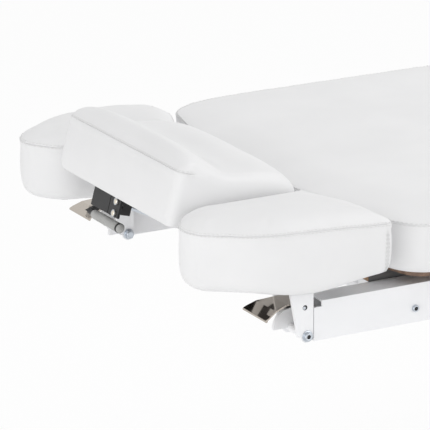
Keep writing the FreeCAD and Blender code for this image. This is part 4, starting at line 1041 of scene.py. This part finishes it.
def white_to_camera(tree, cover, plain):
    """Mixes pure white over a shader, by cover, wherever a camera, glossy or transmission ray meets it."""
    path = tree.nodes.new("ShaderNodeLightPath")
    total = path.outputs["Is Camera Ray"]
    for name in ("Is Glossy Ray", "Is Transmission Ray"):
        add = tree.nodes.new("ShaderNodeMath")
        add.operation = "MAXIMUM"
        tree.links.new(total, add.inputs[0])
        tree.links.new(path.outputs[name], add.inputs[1])
        total = add.outputs[0]
    share = tree.nodes.new("ShaderNodeMath")
    share.operation = "MULTIPLY"
    share.inputs[1].default_value = cover
    tree.links.new(total, share.inputs[0])
    white = tree.nodes.new("ShaderNodeEmission")
    mix = tree.nodes.new("ShaderNodeMixShader")
    tree.links.new(share.outputs[0], mix.inputs["Fac"])
    tree.links.new(plain, mix.inputs[1])
    tree.links.new(white.outputs[0], mix.inputs[2])
    return mix.outputs[0]


def build_floor():
    """A pale floor, white to the camera and still taking the table's shadow."""
    mesh = bpy.data.meshes.new("studio_floor")
    corners = [(x * FLOOR_REACH, y * FLOOR_REACH, 0.0) for x, y in ((-1, -1), (1, -1), (1, 1), (-1, 1))]
    mesh.from_pydata(corners, [], [(0, 1, 2, 3)])
    floor = link(mesh, "studio_floor")
    material = bpy.data.materials.new("studio_floor")
    material.use_nodes = True
    tree = material.node_tree
    shader = tree.nodes["Principled BSDF"]
    shader.inputs["Base Color"].default_value = (FLOOR_TONE, FLOOR_TONE, FLOOR_TONE, 1.0)
    shader.inputs["Roughness"].default_value = FLOOR_ROUGH
    shown = white_to_camera(tree, FLOOR_WHITE, shader.outputs[0])
    tree.links.new(shown, tree.nodes["Material Output"].inputs["Surface"])
    mesh.materials.append(material)


def build_world():
    """A plain white world."""
    world = bpy.data.worlds.new("studio")
    world.use_nodes = True
    tree = world.node_tree
    background = tree.nodes["Background"]
    background.inputs["Color"].default_value = (1.0, 1.0, 1.0, 1.0)
    background.inputs["Strength"].default_value = WORLD_LIGHT
    shown = white_to_camera(tree, 1.0, background.outputs[0])
    tree.links.new(shown, tree.nodes["World Output"].inputs["Surface"])
    bpy.context.scene.world = world


def build_lamps():
    """Wide lamps round the table, turned to its head half."""
    for name, place, power in LAMPS:
        data = bpy.data.lights.new(name, "AREA")
        data.shape = "RECTANGLE"
        data.size, data.size_y = LAMP_SIZE
        data.energy = power
        lamp = bpy.data.objects.new(name, data)
        bpy.context.scene.collection.objects.link(lamp)
        lamp.location = place
        lamp.rotation_euler = (LAMP_TARGET - Vector(place)).to_track_quat("-Z", "Y").to_euler()


def build_camera():
    """The photo's camera."""
    data = bpy.data.cameras.new("photo_camera")
    data.sensor_width = PHOTO_SENSOR
    data.lens = PHOTO_LENS
    data.clip_end = VIEW_END
    camera = bpy.data.objects.new("photo_camera", data)
    bpy.context.scene.collection.objects.link(camera)
    back = PHOTO_BACK.normalized()
    camera.location = PHOTO_TARGET + back * PHOTO_DISTANCE
    camera.rotation_euler = (-back).to_track_quat("-Z", "Y").to_euler()
    bpy.context.scene.camera = camera


materials = make_materials()
dress_frame(materials)
upholster(materials)
head_release(materials)
backrest_battens(materials)
side_fasteners(materials)
build_floor()
build_world()
build_lamps()
build_camera()
bpy.context.scene.view_settings.view_transform = "Standard"
